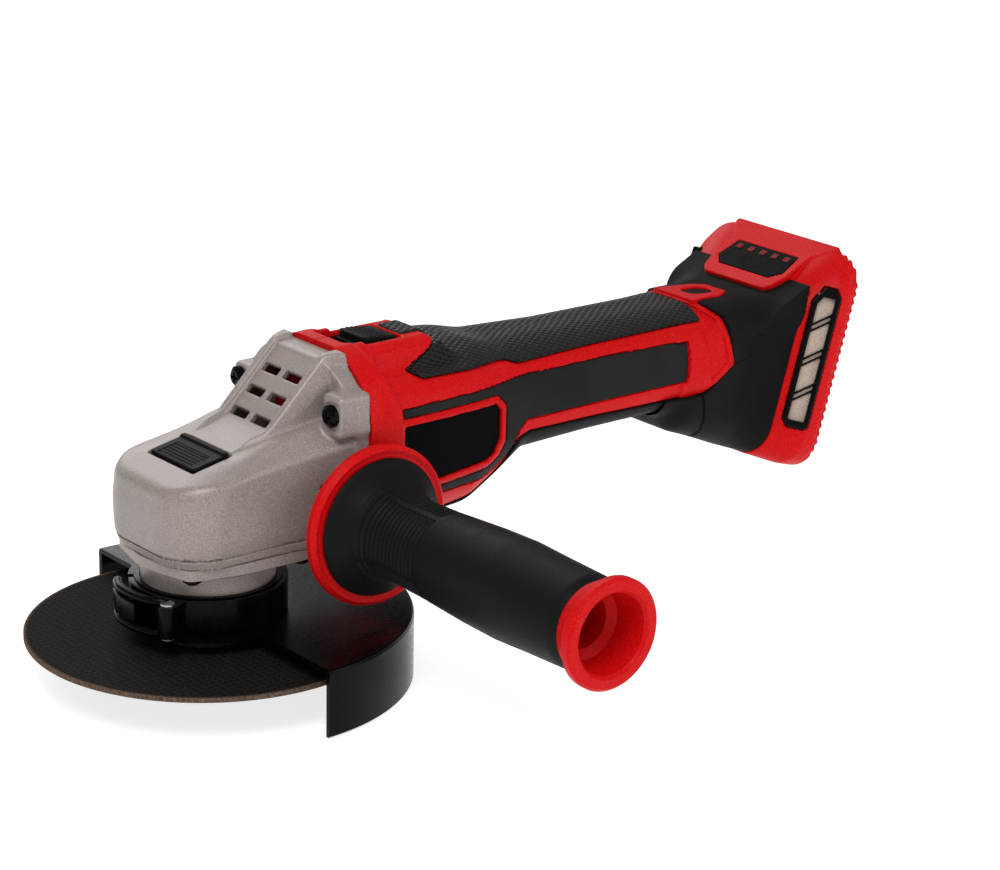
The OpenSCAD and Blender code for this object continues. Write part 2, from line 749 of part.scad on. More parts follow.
// Tray under the slider's window, with the sensor that reads the slider.
module switch_tray() {
    hw = switch_hw - gap;
    color("#303030") translate([switch_window[0] - 2, -hw, tray_top_z - 1.8])
        cube([switch_window[1] - switch_window[0] + 4, 2 * hw, 1.8]);
}

board_x = 134;         // control board inside the grip
board_len = 60;
board_hw = grip_hw - shell_wall - 2 * gap;
board_z = motor_z - 4;
board_t = 1.6;
module_size = [10, 8, 3];
module_pitch = 16;
capacitor_r = 8;
capacitor_len = 30;

module control_board() {
    color("darkgreen") translate([board_x, -board_hw, board_z]) cube([board_len, 2 * board_hw, board_t]);
}

module power_modules() {
    color("#303030") for (k = [0 : 5])
        translate([board_x + 8 + module_pitch * (k % 3), k < 3 ? 4 - board_hw : board_hw - 14,
            board_z + board_t])
            cube(module_size);
}

module buffer_capacitor() {
    color("#20242c") translate([board_x + 12, 0, board_z + board_t + capacitor_r]) rotate([0, 90, 0])
        cylinder(h = capacitor_len, r = capacitor_r);
}

// ---------- battery dock ----------

// Places children in the dock's plane: local X is the outward normal, local Z runs up the slope.
module at_dock(offset = 0) {
    translate([dock_x, 0, dock_z]) rotate([0, dock_tilt, 0]) translate([offset, 0, 0]) children();
}

// Ring of the tilted housing: [distance before the face, lean, half width, lower edge, upper edge,
// upper corner radius, lower corner radius]
function dock_ring(b) = [for (p = outline(b[2], b[3], b[4], b[5], b[6]))
    let (u = b[1] * p[1] - b[0])
    [dock_x + u * cos(dock_tilt) + p[1] * sin(dock_tilt), p[0], dock_z - u * sin(dock_tilt)
        + p[1] * cos(dock_tilt)]];

module dock_solid(rows) {
    skin([for (b = rows) dock_ring(b)]);
}

boot_outer = [
    [56.75, 0.25, 30, -32.6, 10.8, 20, 16],
    [50, 0.12, 30.5, -37, 13.2, 20, 16],
    [40, 0, 30.6, -39, 15, 18, 16],
    [30, 0, 27.6, -40.3, 16.2, 13, 14],
    [24, 0, 27.4, -40.8, 17.6, 10, 13],
    [frame_depth + gap, 0, dock_hw - 9.2, -dock_hh + 1, dock_top - 17.8, 9, 11]];
boot_inner = [
    [57.2, 0.25, 28.2, -30.1, 9.5, 20, 13],
    [50, 0.12, 28.7, -34.6, 11.6, 18, 13],
    [40, 0, 28.5, -36.6, 12.9, 16, 13],
    [30, 0, 25.2, -37.8, 13.8, 11, 12],
    [24, 0, 25, -38.3, 15.2, 8, 11],
    [frame_depth - gap, 0, dock_hw - 11.6, -dock_hh + 3.4, dock_top - 20.2, 7, 9]];

// Soft housing between the grip's end and the dock.
module rear_boot() {
    color(black) difference() {
        dock_solid(boot_outer);
        dock_solid(boot_inner);
    }
}

frame_outer = [
    [frame_depth, 0, dock_hw - 9, -dock_hh + 1, dock_top - 16.8, 9, 11],
    [8, 0, dock_hw - 0.4, -dock_hh, dock_top - 4.4, 15, 13],
    [3.6, 0, dock_hw, -dock_hh, dock_top - 0.4, 13, 13],
    [0, 0, dock_hw, -dock_hh, dock_top, 13, 13]];
frame_inner = [
    [frame_depth + 0.5, 0, dock_hw - 12.5, -dock_hh + 4.4, dock_top - 20.8, 7, 8],
    [8, 0, dock_hw - 4.4, -dock_hh + 4.2, dock_top - 8.8, 11, 9],
    [-1, 0, dock_hw - 4.2, -dock_hh + 4.2, dock_top - 4.4, 9, 9]];

hood_u = -25.6;        // front edge of the hood, in the dock's plane
hood_w = dock_top - 19.53;
hood_t = 3.6;
hood_back = 28;        // length of the hood up its slope

// Places children on the hood: local X runs up its slope, local Z is its outward normal.
module on_hood() {
    translate([dock_x, 0, dock_z]) rotate([0, dock_tilt, 0]) translate([hood_u, 0, hood_w])
        rotate([0, -dock_tilt - hood_pitch, 0]) children();
}

display_shape = [[6.2, 13], [10.6, 17.4], [20.2, 16], [20.2, -16], [10.6, -17.4], [6.2, -13]];

filter_w = 54;
filter_d = 10.6;
filter_slope = 37;     // slant of the frame's side
filter_y = dock_hw - 4.4;
filter_u = -10.6;

// Places children on the frame's slanted side: local Y is the outward normal.
module at_filter(side) {
    at_dock(filter_u) translate([0, side * filter_y, 0.6]) rotate([0, 0, side * filter_slope]) children();
}

// Red frame round the battery slot, with the hood for the display on top.
module dock_frame() {
    color(red) difference() {
        union() {
            difference() {
                dock_solid(frame_outer);
                dock_solid(frame_inner);
            }
            on_hood() translate([0, 0, -hood_t]) linear_extrude(height = hood_t)
                polygon([[0, 17], [1, 18.4], [hood_back - 5, 20.6], [hood_back, 26.5], [hood_back, -26.5],
                    [hood_back - 5, -20.6], [1, -18.4], [0, -17]]);
        }
        for (s = [-1, 1]) at_filter(s) cube([filter_d + 0.4, 9, filter_w + 0.4], center = true);
        on_hood() translate([0, 0, -1.4]) linear_extrude(height = 3) offset(delta = 0.2)
            polygon(display_shape);
        at_dock(0) translate([0, -60, -60]) cube([30, 120, 130]);
    }
}

module filter_frame(side) {
    color(black) at_filter(side) difference() {
        cube([filter_d, 4, filter_w], center = true);
        cube([filter_d - 3.6, 9, filter_w - 5], center = true);
    }
}

module filter_mesh(side) {
    color("#b8a48c") at_filter(side) cube([filter_d - 3.8, 1, filter_w - 5.2], center = true);
}

module display_panel() {
    color("#0c0c0c") on_hood() translate([0, 0, -1.3]) linear_extrude(height = 1.5) polygon(display_shape);
}

module display_lamps() {
    color("#c03030") on_hood() for (k = [-2 : 2])
        translate([17.4, k * 6.4, 0.3]) cube([2.6, 2.8, 0.2], center = true);
}

rail_y = dock_hw - 12;
rail_u = -9;
plate_t = 2.6;
plate_hw = dock_hw - 8.6;
rail_low = -dock_hh + 11;
rail_high = dock_top - 15.8;
rail_mid = (rail_low + rail_high) / 2;

// Dock plate with the two rails that the battery slides on.
module dock_rails() {
    color("#1b1b1b") at_dock(rail_u) {
        difference() {
            translate([-plate_t, 0, 0]) rotate([90, 0, 90]) linear_extrude(height = plate_t)
                polygon(outline(plate_hw, -dock_hh + 4.8, dock_top - 14.3, 9, 8));
            translate([-4, -14, -20]) cube([10, 28, 40]);
        }
        for (s = [-1, 1]) {
            translate([3, s * (rail_y + 1.4), rail_mid])
                cube([6.4, 2.8, rail_high - rail_low], center = true);
            translate([5, s * (rail_y - 1), rail_mid]) cube([2.4, 3, rail_high - rail_low], center = true);
        }
    }
}

module terminal_block() {
    color("#303030") at_dock(rail_u) difference() {
        translate([-2, 0, 0]) cube([8, 27.8, 39.8], center = true);
        for (y = [-9, -3, 3, 9]) translate([-1, y - 0.8, -22]) cube([8, 1.6, 30]);
    }
}

module terminal_blades() {
    color("goldenrod") at_dock(rail_u) for (y = [-9, -3, 3, 9]) translate([-0.9, y - 0.4, -15])
        cube([2.4, 0.8, 20]);
}

// ---------- side handle ----------

module along_handle() {
    translate([handle_x, handle_face_y, handle_z]) rotate([90, 0, 0]) children();
}

core_flange_z = 2.5;

// Hard core of the handle: hand guard bead, tube and the flared open end.
module handle_core() {
    color(red) along_handle() rotate_extrude() difference() {
        polygon([[4, core_flange_z - 2.2], [11, core_flange_z - 2.2], [15, core_flange_z],
            [handle_flange_r - 2, core_flange_z],
            [handle_flange_r, core_flange_z + 1.6], [handle_flange_r, core_flange_z + 3.6],
                [handle_flange_r - 1.5, core_flange_z + 5.2],
            [handle_flange_r - 3, core_flange_z + 4.6], [12.2, core_flange_z + 5], [12.2, handle_len - 13],
            [14.6, handle_len - 10], [16.6, handle_len - 6], [handle_end_r, handle_len - 3.4],
                [handle_end_r, handle_len - 1],
            [handle_end_r - 1, handle_len], [handle_hollow_r + 1, handle_len],
                [handle_hollow_r, handle_len - 1.2],
            [handle_hollow_r - 1.6, handle_len - 12], [9, handle_len - 14], [9, 34], [4, 34]]);
    }
}

module handle_grip() {
    z0 = core_flange_z + 5.2;
    color(black) along_handle() rotate_extrude()
        polygon([[12.4, z0], [handle_flange_r - 4, z0], [handle_flange_r - 4.4, z0 + 1.2],
        [21.5, z0 + 2.6], [18, z0 + 6], [15.6, z0 + 11], [14.8, z0 + 18], [15.2, z0 + 34], [16.4, z0 + 56],
        [16.8, z0 + 72], [16.2, z0 + 86], [15.6, handle_len - 13], [15, handle_len - 11],
            [12.4, handle_len - 13.4]]);
}

module handle_stud() {
    color(steel) along_handle() {
        translate([0, 0, -11]) cylinder(h = 44, r = handle_thread_r - 0.05);
    }
}

// ---------- output ----------

from_disc() gear_housing();
from_disc() bearing_flange();
from_disc() flange_screws();
from_disc() head_screws();
from_disc() lock_button();
from_disc() lock_pin();
from_disc() lock_spring();
from_disc() spindle();
from_disc() spindle_lower_bearing();
from_disc() spindle_upper_bearing();
from_disc() crown_gear();
from_disc() inner_flange();
from_disc() cutting_disc();
from_disc() flange_nut();
from_disc() guard();
from_disc() guard_clamp_band();
from_disc() clamp_lever();
from_disc() clamp_pin();
from_disc() motor_shaft();
from_disc() pinion_gear();
from_disc() rotor_core();
from_disc() fan();
from_disc() front_motor_bearing();
from_disc() rear_motor_bearing();
from_disc() stator_core();
from_disc() stator_windings();
from_disc() fan_baffle();
from_disc() body_shell(-1);  // left_body_shell
from_disc() body_shell(1);  // right_body_shell
from_disc() side_grip(-1);  // left_side_grip
from_disc() side_grip(1);  // right_side_grip
from_disc() label(-1);  // left_label
from_disc() label(1);  // right_label
from_disc() top_grip();
from_disc() switch_slider();
from_disc() switch_tray();
from_disc() buffer_capacitor();
from_disc() control_board();
from_disc() power_modules();
from_disc() rear_boot();
from_disc() dock_frame();
from_disc() display_panel();
from_disc() display_lamps();
from_disc() filter_frame(-1);  // left_filter_frame
from_disc() filter_frame(1);  // right_filter_frame
from_disc() filter_mesh(-1);  // left_filter_mesh
from_disc() filter_mesh(1);  // right_filter_mesh
from_disc() terminal_block();
from_disc() terminal_blades();
from_disc() dock_rails();
from_disc() shell_screws();
from_disc() handle_core();
from_disc() handle_grip();
from_disc() handle_stud();
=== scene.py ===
import bpy, json, math
import numpy as np
from mathutils import Matrix, Vector


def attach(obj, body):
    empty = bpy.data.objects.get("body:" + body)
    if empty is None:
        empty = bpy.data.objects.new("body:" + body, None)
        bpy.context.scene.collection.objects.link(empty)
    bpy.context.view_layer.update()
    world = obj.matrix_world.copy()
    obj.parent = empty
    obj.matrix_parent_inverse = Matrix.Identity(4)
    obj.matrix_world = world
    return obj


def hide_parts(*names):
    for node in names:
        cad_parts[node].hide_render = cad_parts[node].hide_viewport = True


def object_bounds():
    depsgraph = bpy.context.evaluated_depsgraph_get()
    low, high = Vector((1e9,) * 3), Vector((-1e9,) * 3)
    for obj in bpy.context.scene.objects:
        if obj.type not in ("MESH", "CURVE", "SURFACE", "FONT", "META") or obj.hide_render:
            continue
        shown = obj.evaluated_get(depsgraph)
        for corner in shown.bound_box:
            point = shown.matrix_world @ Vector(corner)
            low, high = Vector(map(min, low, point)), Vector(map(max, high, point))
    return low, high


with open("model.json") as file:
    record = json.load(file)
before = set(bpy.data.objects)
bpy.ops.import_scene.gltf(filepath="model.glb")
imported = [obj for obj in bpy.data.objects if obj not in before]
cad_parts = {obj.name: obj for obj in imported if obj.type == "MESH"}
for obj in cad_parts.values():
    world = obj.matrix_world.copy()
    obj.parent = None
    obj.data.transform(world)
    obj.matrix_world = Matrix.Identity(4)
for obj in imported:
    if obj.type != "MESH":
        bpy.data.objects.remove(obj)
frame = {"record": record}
cad_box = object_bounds()
MM = 0.001
BASE = 7.8             # disc plane above the origin, mm
CELL = 0.7           # spacing of the grid that the surfaces are taken from, mm
HEAD_CELL = 0.65
DOCK_CELL = 0.5
HANDLE_CELL = 0.6
FILTER_CELL = 0.4
LOOP_CELL = 0.5
SMALL_CELL = 0.4
HANDLE_AXIS = (40, 41)                 # x and height of the side handle, mm
SIDES = ((-1, "left"), (1, "right"))


def P(x, y, z):
    """A point measured from the disc plane, in mm, as metres in the row frame."""
    return Vector((x * MM, y * MM, (z + BASE) * MM))


# ---------- distance fields, in mm, heights from the disc plane ----------
def smin(a, b, k):
    """Union of two fields, with a fillet about k wide."""
    h = np.clip(0.5 + 0.5 * (b - a) / k, 0, 1)
    return b + (a - b) * h - k * h * (1 - h)


def smax(a, b, k):
    """Intersection of two fields, with its edge rounded about k wide."""
    return -smin(-a, -b, k)


def box(x, y, z, c, h, r=0.0):
    """Rounded box: centre c, half sizes h."""
    qx, qy, qz = abs(x - c[0]) - h[0] + r, abs(y - c[1]) - h[1] + r, abs(z - c[2]) - h[2] + r
    out = np.sqrt(np.maximum(qx, 0) ** 2 + np.maximum(qy, 0) ** 2 + np.maximum(qz, 0) ** 2)
    return out + np.minimum(np.maximum(qx, np.maximum(qy, qz)), 0) - r


def rect(u, v, c, h, r=0.0):
    """Rounded rectangle: centre c, half sizes h."""
    qu, qv = abs(u - c[0]) - h[0] + r, abs(v - c[1]) - h[1] + r
    return np.sqrt(np.maximum(qu, 0) ** 2 + np.maximum(qv, 0) ** 2) + np.minimum(np.maximum(qu, qv), 0) - r


def disc2(u, v, c, r):
    """Circle of radius r around c."""
    return np.sqrt((u - c[0]) ** 2 + (v - c[1]) ** 2) - r


def cyl(u, v, w, c, r, w0, w1, edge=0.0):
    """Cylinder along w."""
    a, b = disc2(u, v, c, r) + edge, abs(w - (w0 + w1) / 2) - (w1 - w0) / 2 + edge
    return np.sqrt(np.maximum(a, 0) ** 2 + np.maximum(b, 0) ** 2) + np.minimum(np.maximum(a, b), 0) - edge


def poly2(u, v, pts):
    """Signed distance to a polygon."""
    u, v = np.broadcast_arrays(u, v)
    d = np.full(u.shape, 1e9)
    s = np.ones(u.shape)
    n = len(pts)
    for i in range(n):
        (ax, ay), (bx, by) = pts[i], pts[i - 1]
        ex, ey = bx - ax, by - ay
        wx, wy = u - ax, v - ay
        t = np.clip((wx * ex + wy * ey) / (ex * ex + ey * ey), 0, 1)
        d = np.minimum(d, (wx - ex * t) ** 2 + (wy - ey * t) ** 2)
        c1, c2, c3 = v >= ay, v < by, ex * wy > ey * wx
        flip = (c1 & c2 & c3) | (~c1 & ~c2 & ~c3)
        s = np.where(flip, -s, s)
    return s * np.sqrt(d)


def smooth_table(xs, ys, x, soft=4.0):
    """Table lookup with its corners rounded."""
    t = np.arange(xs[0] - 20, xs[-1] + 20, 0.5)
    v = np.interp(t, xs, ys)
    k = max(1, int(soft / 0.5))
    ker = np.hanning(2 * k + 3)
    ker /= ker.sum()
    v = np.convolve(np.pad(v, k + 1, mode="edge"), ker, mode="valid")
    return np.interp(x, t, v)


def ease(a, b, x):
    """0 before a, 1 after b, smooth between."""
    t = np.clip((x - a) / (b - a), 0, 1)
    return t * t * (3 - 2 * t)


def section(y, z, hw, low, high, r_up, r_low):
    """Distance to an upright section, the same on both sides, with upper and lower corner radii."""
    turn = low + (high - low) * r_low / (r_up + r_low)
    up = z > turn
    r = np.where(up, r_up, r_low)
    qy, qz = abs(y) - hw + r, np.where(up, z - high + r, low + r - z)
    return np.sqrt(np.maximum(qy, 0) ** 2 + np.maximum(qz, 0) ** 2) + np.minimum(np.maximum(qy, qz), 0) - r


# ---------- surface nets ----------
def nets(f, lo, hi, cell):
    """Vertices, quads and normals of the surface f = 0 inside a box, by surface nets."""
    lo, hi = np.array(lo, float), np.array(hi, float)
    n = np.ceil((hi - lo) / cell).astype(int) + 1
    ax = [lo[i] + cell * np.arange(n[i]) for i in range(3)]
    X, Y, Z = np.meshgrid(*ax, indexing="ij", sparse=True)
    V = np.broadcast_to(f(X, Y, Z), tuple(n)).astype(np.float32)
    V = np.where(V == 0, 1e-6, V)
    inside = V < 0
    cs = tuple(k - 1 for k in n)
    acc = [np.zeros(cs, np.float32) for _ in range(3)]
    cnt = np.zeros(cs, np.float32)
    quads, edges = [], []
    for a in range(3):
        s0 = [slice(None)] * 3
        s1 = [slice(None)] * 3
        s0[a], s1[a] = slice(0, -1), slice(1, None)
        A, B = V[tuple(s0)], V[tuple(s1)]
        cross = inside[tuple(s0)] != inside[tuple(s1)]
        i, j, k = np.nonzero(cross)
        ids = np.stack([i, j, k], 1)
        t = A[cross] / (A[cross] - B[cross])
        pos = ids.astype(np.float32)
        pos[:, a] += t
        b, c = (a + 1) % 3, (a + 2) % 3
        ok = (ids[:, b] > 0) & (ids[:, b] < cs[b]) & (ids[:, c] > 0) & (ids[:, c] < cs[c])
        ids, pos = ids[ok], pos[ok]
        edges.append((a, ids, inside[tuple(ids.T)]))
        for db in (-1, 0):
            for dc in (-1, 0):
                q = ids.copy()
                q[:, b] += db
                q[:, c] += dc
                flat = np.ravel_multi_index(q.T, cs)
                cnt += np.bincount(flat, minlength=cnt.size).reshape(cs)
                for m in range(3):
                    acc[m] += np.bincount(flat, weights=pos[:, m], minlength=cnt.size).reshape(cs)
    used = cnt > 0
    idx = np.full(cs, -1, np.int64)
    idx[used] = np.arange(used.sum())
    verts = np.stack([acc[m][used] / cnt[used] for m in range(3)], 1) * cell + lo
    for a, ids, ins in edges:
        b, c = (a + 1) % 3, (a + 2) % 3
        corner = []
        for db, dc in ((-1, -1), (0, -1), (0, 0), (-1, 0)):
            q = ids.copy()
            q[:, b] += db
            q[:, c] += dc
            corner.append(idx[tuple(q.T)])
        q = np.stack(corner, 1)
        q[~ins] = q[~ins][:, ::-1]
        quads.append(q)
    quads = np.concatenate(quads)

    def grad(p, h=0.04):
        """Slope of the field, by differences over h mm each way."""
        g = np.zeros_like(p)
        for m in range(3):
            d = np.zeros(3)
            d[m] = h
            up, dn = p + d, p - d
            g[:, m] = (f(up[:, 0], up[:, 1], up[:, 2]) - f(dn[:, 0], dn[:, 1], dn[:, 2])) / (2 * h)
        return g
    base = verts.copy()
    for _ in range(2):                 # Newton steps onto the surface, each a part of a cell at most
        g = grad(verts)
        v0 = f(verts[:, 0], verts[:, 1], verts[:, 2])
        step = g * (v0 / np.maximum((g ** 2).sum(1), 0.05))[:, None]
        length = np.sqrt((step ** 2).sum(1))
        step *= (np.minimum(length, 0.4 * cell) / np.maximum(length, 1e-9))[:, None]
        verts = verts - step
    off = verts - base
    length = np.sqrt((off ** 2).sum(1))
    verts = base + off * (np.minimum(length, 0.6 * cell) / np.maximum(length, 1e-9))[:, None]
    g = grad(verts)
    g /= np.maximum(np.sqrt((g ** 2).sum(1)), 1e-9)[:, None]
    return verts, quads, g


def piece(name, body, look, f, lo, hi, cell=CELL, replaces=()):
    """Mesh of the field f in the box lo to hi, riding a body and shown instead of the replaced nodes."""
    verts, quads, g = nets(f, lo, hi, cell)
    mesh = bpy.data.meshes.new(name)
    v = verts * MM
    v[:, 2] += BASE * MM
    mesh.vertices.add(len(v))
    mesh.vertices.foreach_set("co", v.astype(np.float32).ravel())
    mesh.loops.add(len(quads) * 4)
    mesh.loops.foreach_set("vertex_index", quads.astype(np.int32).ravel())
    mesh.polygons.add(len(quads))
    mesh.polygons.foreach_set("loop_start", np.arange(0, len(quads) * 4, 4, dtype=np.int32))
    mesh.update(calc_edges=True)
    mesh.validate()
    mesh.polygons.foreach_set("use_smooth", np.ones(len(mesh.polygons), bool))
    if len(mesh.vertices) == len(g):
        mesh.normals_split_custom_set_from_vertices([tuple(q) for q in g.tolist()])
    o = bpy.data.objects.new(name, mesh)
    bpy.context.scene.collection.objects.link(o)
    mesh.materials.append(MAT[look])
    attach(o, body)
    if replaces:
        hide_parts(*replaces)
    print("piece", name, len(verts))


# ---------- materials ----------
def material(name):
    """New material, its shader, two helpers that add nodes and links, and its coordinates."""
    m = bpy.data.materials.new(name)
    m.use_nodes = True
    nt = m.node_tree
    b = nt.nodes["Principled BSDF"]

    def node(kind, **sets):
        n = nt.nodes.new(kind)
        for k, v in sets.items():
            setattr(n, k, v)
        return n

    def link(a, out, bb, inp):
        nt.links.new(a.outputs[out], bb.inputs[inp])
    co = node("ShaderNodeTexCoord")
    return m, b, node, link, co


def noise(node, link, co, scale, detail=3.0, rough=0.55):
    n = node("ShaderNodeTexNoise")
    n.inputs["Scale"].default_value = scale
    n.inputs["Detail"].default_value = detail
    n.inputs["Roughness"].default_value = rough
    link(co, "Object", n, "Vector")
    return n


def ramp(node, stops):
    r = node("ShaderNodeValToRGB")
    el = r.color_ramp.elements
    while len(el) < len(stops):
        el.new(0.5)
    for e, (p, c) in zip(el, stops):
        e.position, e.color = p, (*c, 1)
    return r


def bump(node, link, b, source, out, strength, distance):
    n = node("ShaderNodeBump")
    n.inputs["Strength"].default_value = strength
    n.inputs["Distance"].default_value = distance
    link(source, out, n, "Height")
    link(n, "Normal", b, "Normal")


def paint_cast():
    """Grey paint with a fine grain over the casting."""
    m, b, node, link, co = material("cast_grey")
    grain = noise(node, link, co, 2300, 2.0, 0.6)
    c = ramp(node, [(0.30, (0.20, 0.168, 0.155)), (0.5, (0.285, 0.243, 0.226)),
                    (0.70, (0.38, 0.335, 0.312))])
    link(grain, "Fac", c, "Fac")
    link(c, "Color", b, "Base Color")
    r = ramp(node, [(0.3, (0.30,) * 3), (0.7, (0.55,) * 3)])
    link(grain, "Fac", r, "Fac")
    link(r, "Color", b, "Roughness")
    b.inputs["Metallic"].default_value = 0.2
    bump(node, link, b, grain, "Fac", 0.25, 0.0002)
    return m


def plastic_red():
    """Red moulded plastic with a fine spark grain."""
    m, b, node, link, co = material("red_plastic")
    b.inputs["Specular IOR Level"].default_value = 0.5
    b.inputs["IOR"].default_value = 1.18
    grain = noise(node, link, co, 1900, 2.0, 0.7)
    broad = noise(node, link, co, 30, 2.0)
    c = ramp(node, [(0.30, (0.42, 0.001, 0.003)), (0.55, (0.58, 0.003, 0.005)),
                    (0.75, (0.70, 0.018, 0.008))])
    link(grain, "Fac", c, "Fac")
    link(c, "Color", b, "Base Color")
    r = ramp(node, [(0.3, (0.36,) * 3), (0.7, (0.5,) * 3)])
    link(broad, "Fac", r, "Fac")
    link(r, "Color", b, "Roughness")
    bump(node, link, b, grain, "Fac", 0.2, 0.00015)
    return m


def rubber(name="black_rubber", tone=0.008, rough=0.5, scale=1400, strength=0.2, shine=0.2):
    """Black rubber or plastic of a given tone, roughness, grain and shine."""
    m, b, node, link, co = material(name)
    b.inputs["Specular IOR Level"].default_value = shine
    b.inputs["IOR"].default_value = 1.2
    grain = noise(node, link, co, scale, 3.0, 0.6)
    broad = noise(node, link, co, 22, 3.0)
    c = ramp(node, [(0.3, (tone * 0.75,) * 3), (0.7, (tone * 1.4, tone * 1.38, tone * 1.36))])
    link(broad, "Fac", c, "Fac")
    link(c, "Color", b, "Base Color")
    r = ramp(node, [(0.3, (rough - 0.08,) * 3), (0.7, (rough + 0.1,) * 3)])
    link(grain, "Fac", r, "Fac")
    link(r, "Color", b, "Roughness")
    bump(node, link, b, grain, "Fac", strength, 0.0002)
    return m


def grip_rubber():
    """Rubber with rows of small scales, laid out along the grip and around it, with painted shade in the
    grooves between the scales.
    """
    m, b, node, link, co = material("grip_rubber")
    b.inputs["Specular IOR Level"].default_value = 0.35
    b.inputs["IOR"].default_value = 1.3
    sep = node("ShaderNodeSeparateXYZ")
    link(co, "Object", sep, "Vector")
    side = node("ShaderNodeMath", operation="ABSOLUTE")
    link(sep, "Y", side, 0)
    around = node("ShaderNodeMath", operation="SUBTRACT")
    link(side, "Value", around, 0)
    link(sep, "Z", around, 1)
    flat = node("ShaderNodeCombineXYZ")
    link(sep, "X", flat, "X")
    link(around, "Value", flat, "Y")
    mapping = node("ShaderNodeMapping")
    mapping.inputs["Scale"].default_value = (370, 480, 1)
    mapping.inputs["Rotation"].default_value = (0, 0, math.pi / 4)
    link(flat, "Vector", mapping, "Vector")
    cell = node("ShaderNodeTexVoronoi")
    cell.voronoi_dimensions = "2D"
    cell.feature = "F1"
    cell.inputs["Scale"].default_value = 1.0
    cell.inputs["Randomness"].default_value = 0.0
    link(mapping, "Vector", cell, "Vector")
    h = ramp(node, [(0.10, (1, 1, 1)), (0.45, (0.55,) * 3), (0.68, (0, 0, 0))])
    link(cell, "Distance", h, "Fac")
    # Painted light and shade: each scale is paler at its crown and darkens towards its edge, so the grooves
    # between the scales read as shaded.
    c = ramp(node, [(0.0, (0.016, 0.0155, 0.015)), (0.4, (0.010, 0.0098, 0.0095)), (0.65, (0.003,) * 3)])
    link(cell, "Distance", c, "Fac")
    link(c, "Color", b, "Base Color")
    b.inputs["Roughness"].default_value = 0.42
    bump(node, link, b, h, "Color", 0.8, 0.0010)
    return m


def tinted(name, colour, rough, shine=0.3):
    """Plain coloured plastic or lacquer."""
    m, b, node, link, co = material(name)
    b.inputs["Specular IOR Level"].default_value = shine
    b.inputs["IOR"].default_value = 1.15
    grain = noise(node, link, co, 800, 2.0)
    c = ramp(node, [(0.3, tuple(0.85 * k for k in colour)), (0.7, tuple(1.15 * k for k in colour))])
    link(grain, "Fac", c, "Fac")
    link(c, "Color", b, "Base Color")
    b.inputs["Roughness"].default_value = rough
    return m


def metal(name, colour, rough):
    """Bare metal with a fine grain."""
    m, b, node, link, co = material(name)
    grain = noise(node, link, co, 900, 3.0)
    c = ramp(node, [(0.3, tuple(k * 0.85 for k in colour)), (0.7, tuple(min(1, k * 1.12) for k in colour))])
    link(grain, "Fac", c, "Fac")
    link(c, "Color", b, "Base Color")
    r = ramp(node, [(0.3, (max(0.04, rough - 0.08),) * 3), (0.7, (rough + 0.08,) * 3)])
    link(grain, "Fac", r, "Fac")
    link(r, "Color", b, "Roughness")
    b.inputs["Metallic"].default_value = 1.0
    bump(node, link, b, grain, "Fac", 0.08, 0.0001)
    return m


def disc_material():
    """Resin disc: a woven net pressed into coarse grit, paler at its rim."""
    m, b, node, link, co = material("disc_resin")
    b.inputs["Specular IOR Level"].default_value = 0.3
    b.inputs["IOR"].default_value = 1.25
    sep = node("ShaderNodeSeparateXYZ")
    link(co, "Object", sep, "Vector")
    waves = []
    for axis in ("X", "Y"):
        k = node("ShaderNodeMath", operation="MULTIPLY")
        link(sep, axis, k, 0)
        k.inputs[1].default_value = 2 * math.pi / 0.0026
        s = node("ShaderNodeMath", operation="SINE")
        link(k, "Value", s, 0)
        waves.append(s)
    net = node("ShaderNodeMath", operation="MAXIMUM")
    link(waves[0], "Value", net, 0)
    link(waves[1], "Value", net, 1)
    grit = noise(node, link, co, 1300, 4.0, 0.75)
    mix = node("ShaderNodeMath", operation="MULTIPLY_ADD")
    link(net, "Value", mix, 0)
    mix.inputs[1].default_value = 0.10
    link(grit, "Fac", mix, 2)
    radius = node("ShaderNodeVectorMath", operation="LENGTH")
    flat = node("ShaderNodeCombineXYZ")
    link(sep, "X", flat, "X")
    link(sep, "Y", flat, "Y")
    link(flat, "Vector", radius, 0)
    rim = node("ShaderNodeMapRange")
    rim.inputs["From Min"].default_value = 0.0612
    rim.inputs["From Max"].default_value = 0.0624
    link(radius, "Value", rim, "Value")
    c = ramp(node, [(0.35, (0.003, 0.0028, 0.0026)), (0.58, (0.009, 0.0082, 0.0077)),
                    (0.8, (0.03, 0.027, 0.024))])
    link(mix, "Value", c, "Fac")
    edge = ramp(node, [(0.35, (0.035, 0.022, 0.015)), (0.7, (0.20, 0.13, 0.09))])
    link(grit, "Fac", edge, "Fac")
    col = node("ShaderNodeMix", data_type="RGBA")
    link(rim, "Result", col, 0)
    link(c, "Color", col, 6)
    link(edge, "Color", col, 7)
    link(col, 2, b, "Base Color")
    b.inputs["Roughness"].default_value = 0.82
    bump(node, link, b, mix, "Value", 0.6, 0.0004)
    return m


def cloth():
    """Fine woven filter mesh."""
    m, b, node, link, co = material("filter_cloth")
    mapping = node("ShaderNodeMapping")
    mapping.inputs["Scale"].default_value = (900, 900, 900)
    link(co, "Object", mapping, "Vector")
    w = node("ShaderNodeTexChecker")
    w.inputs["Scale"].default_value = 1.0
    link(mapping, "Vector", w, "Vector")
    n = noise(node, link, co, 1500, 3.0)
    c = ramp(node, [(0.3, (0.36, 0.27, 0.22)), (0.7, (0.52, 0.42, 0.35))])
    link(n, "Fac", c, "Fac")
    link(c, "Color", b, "Base Color")
    b.inputs["Roughness"].default_value = 0.85
    bump(node, link, b, w, "Fac", 0.4, 0.0002)
    return m


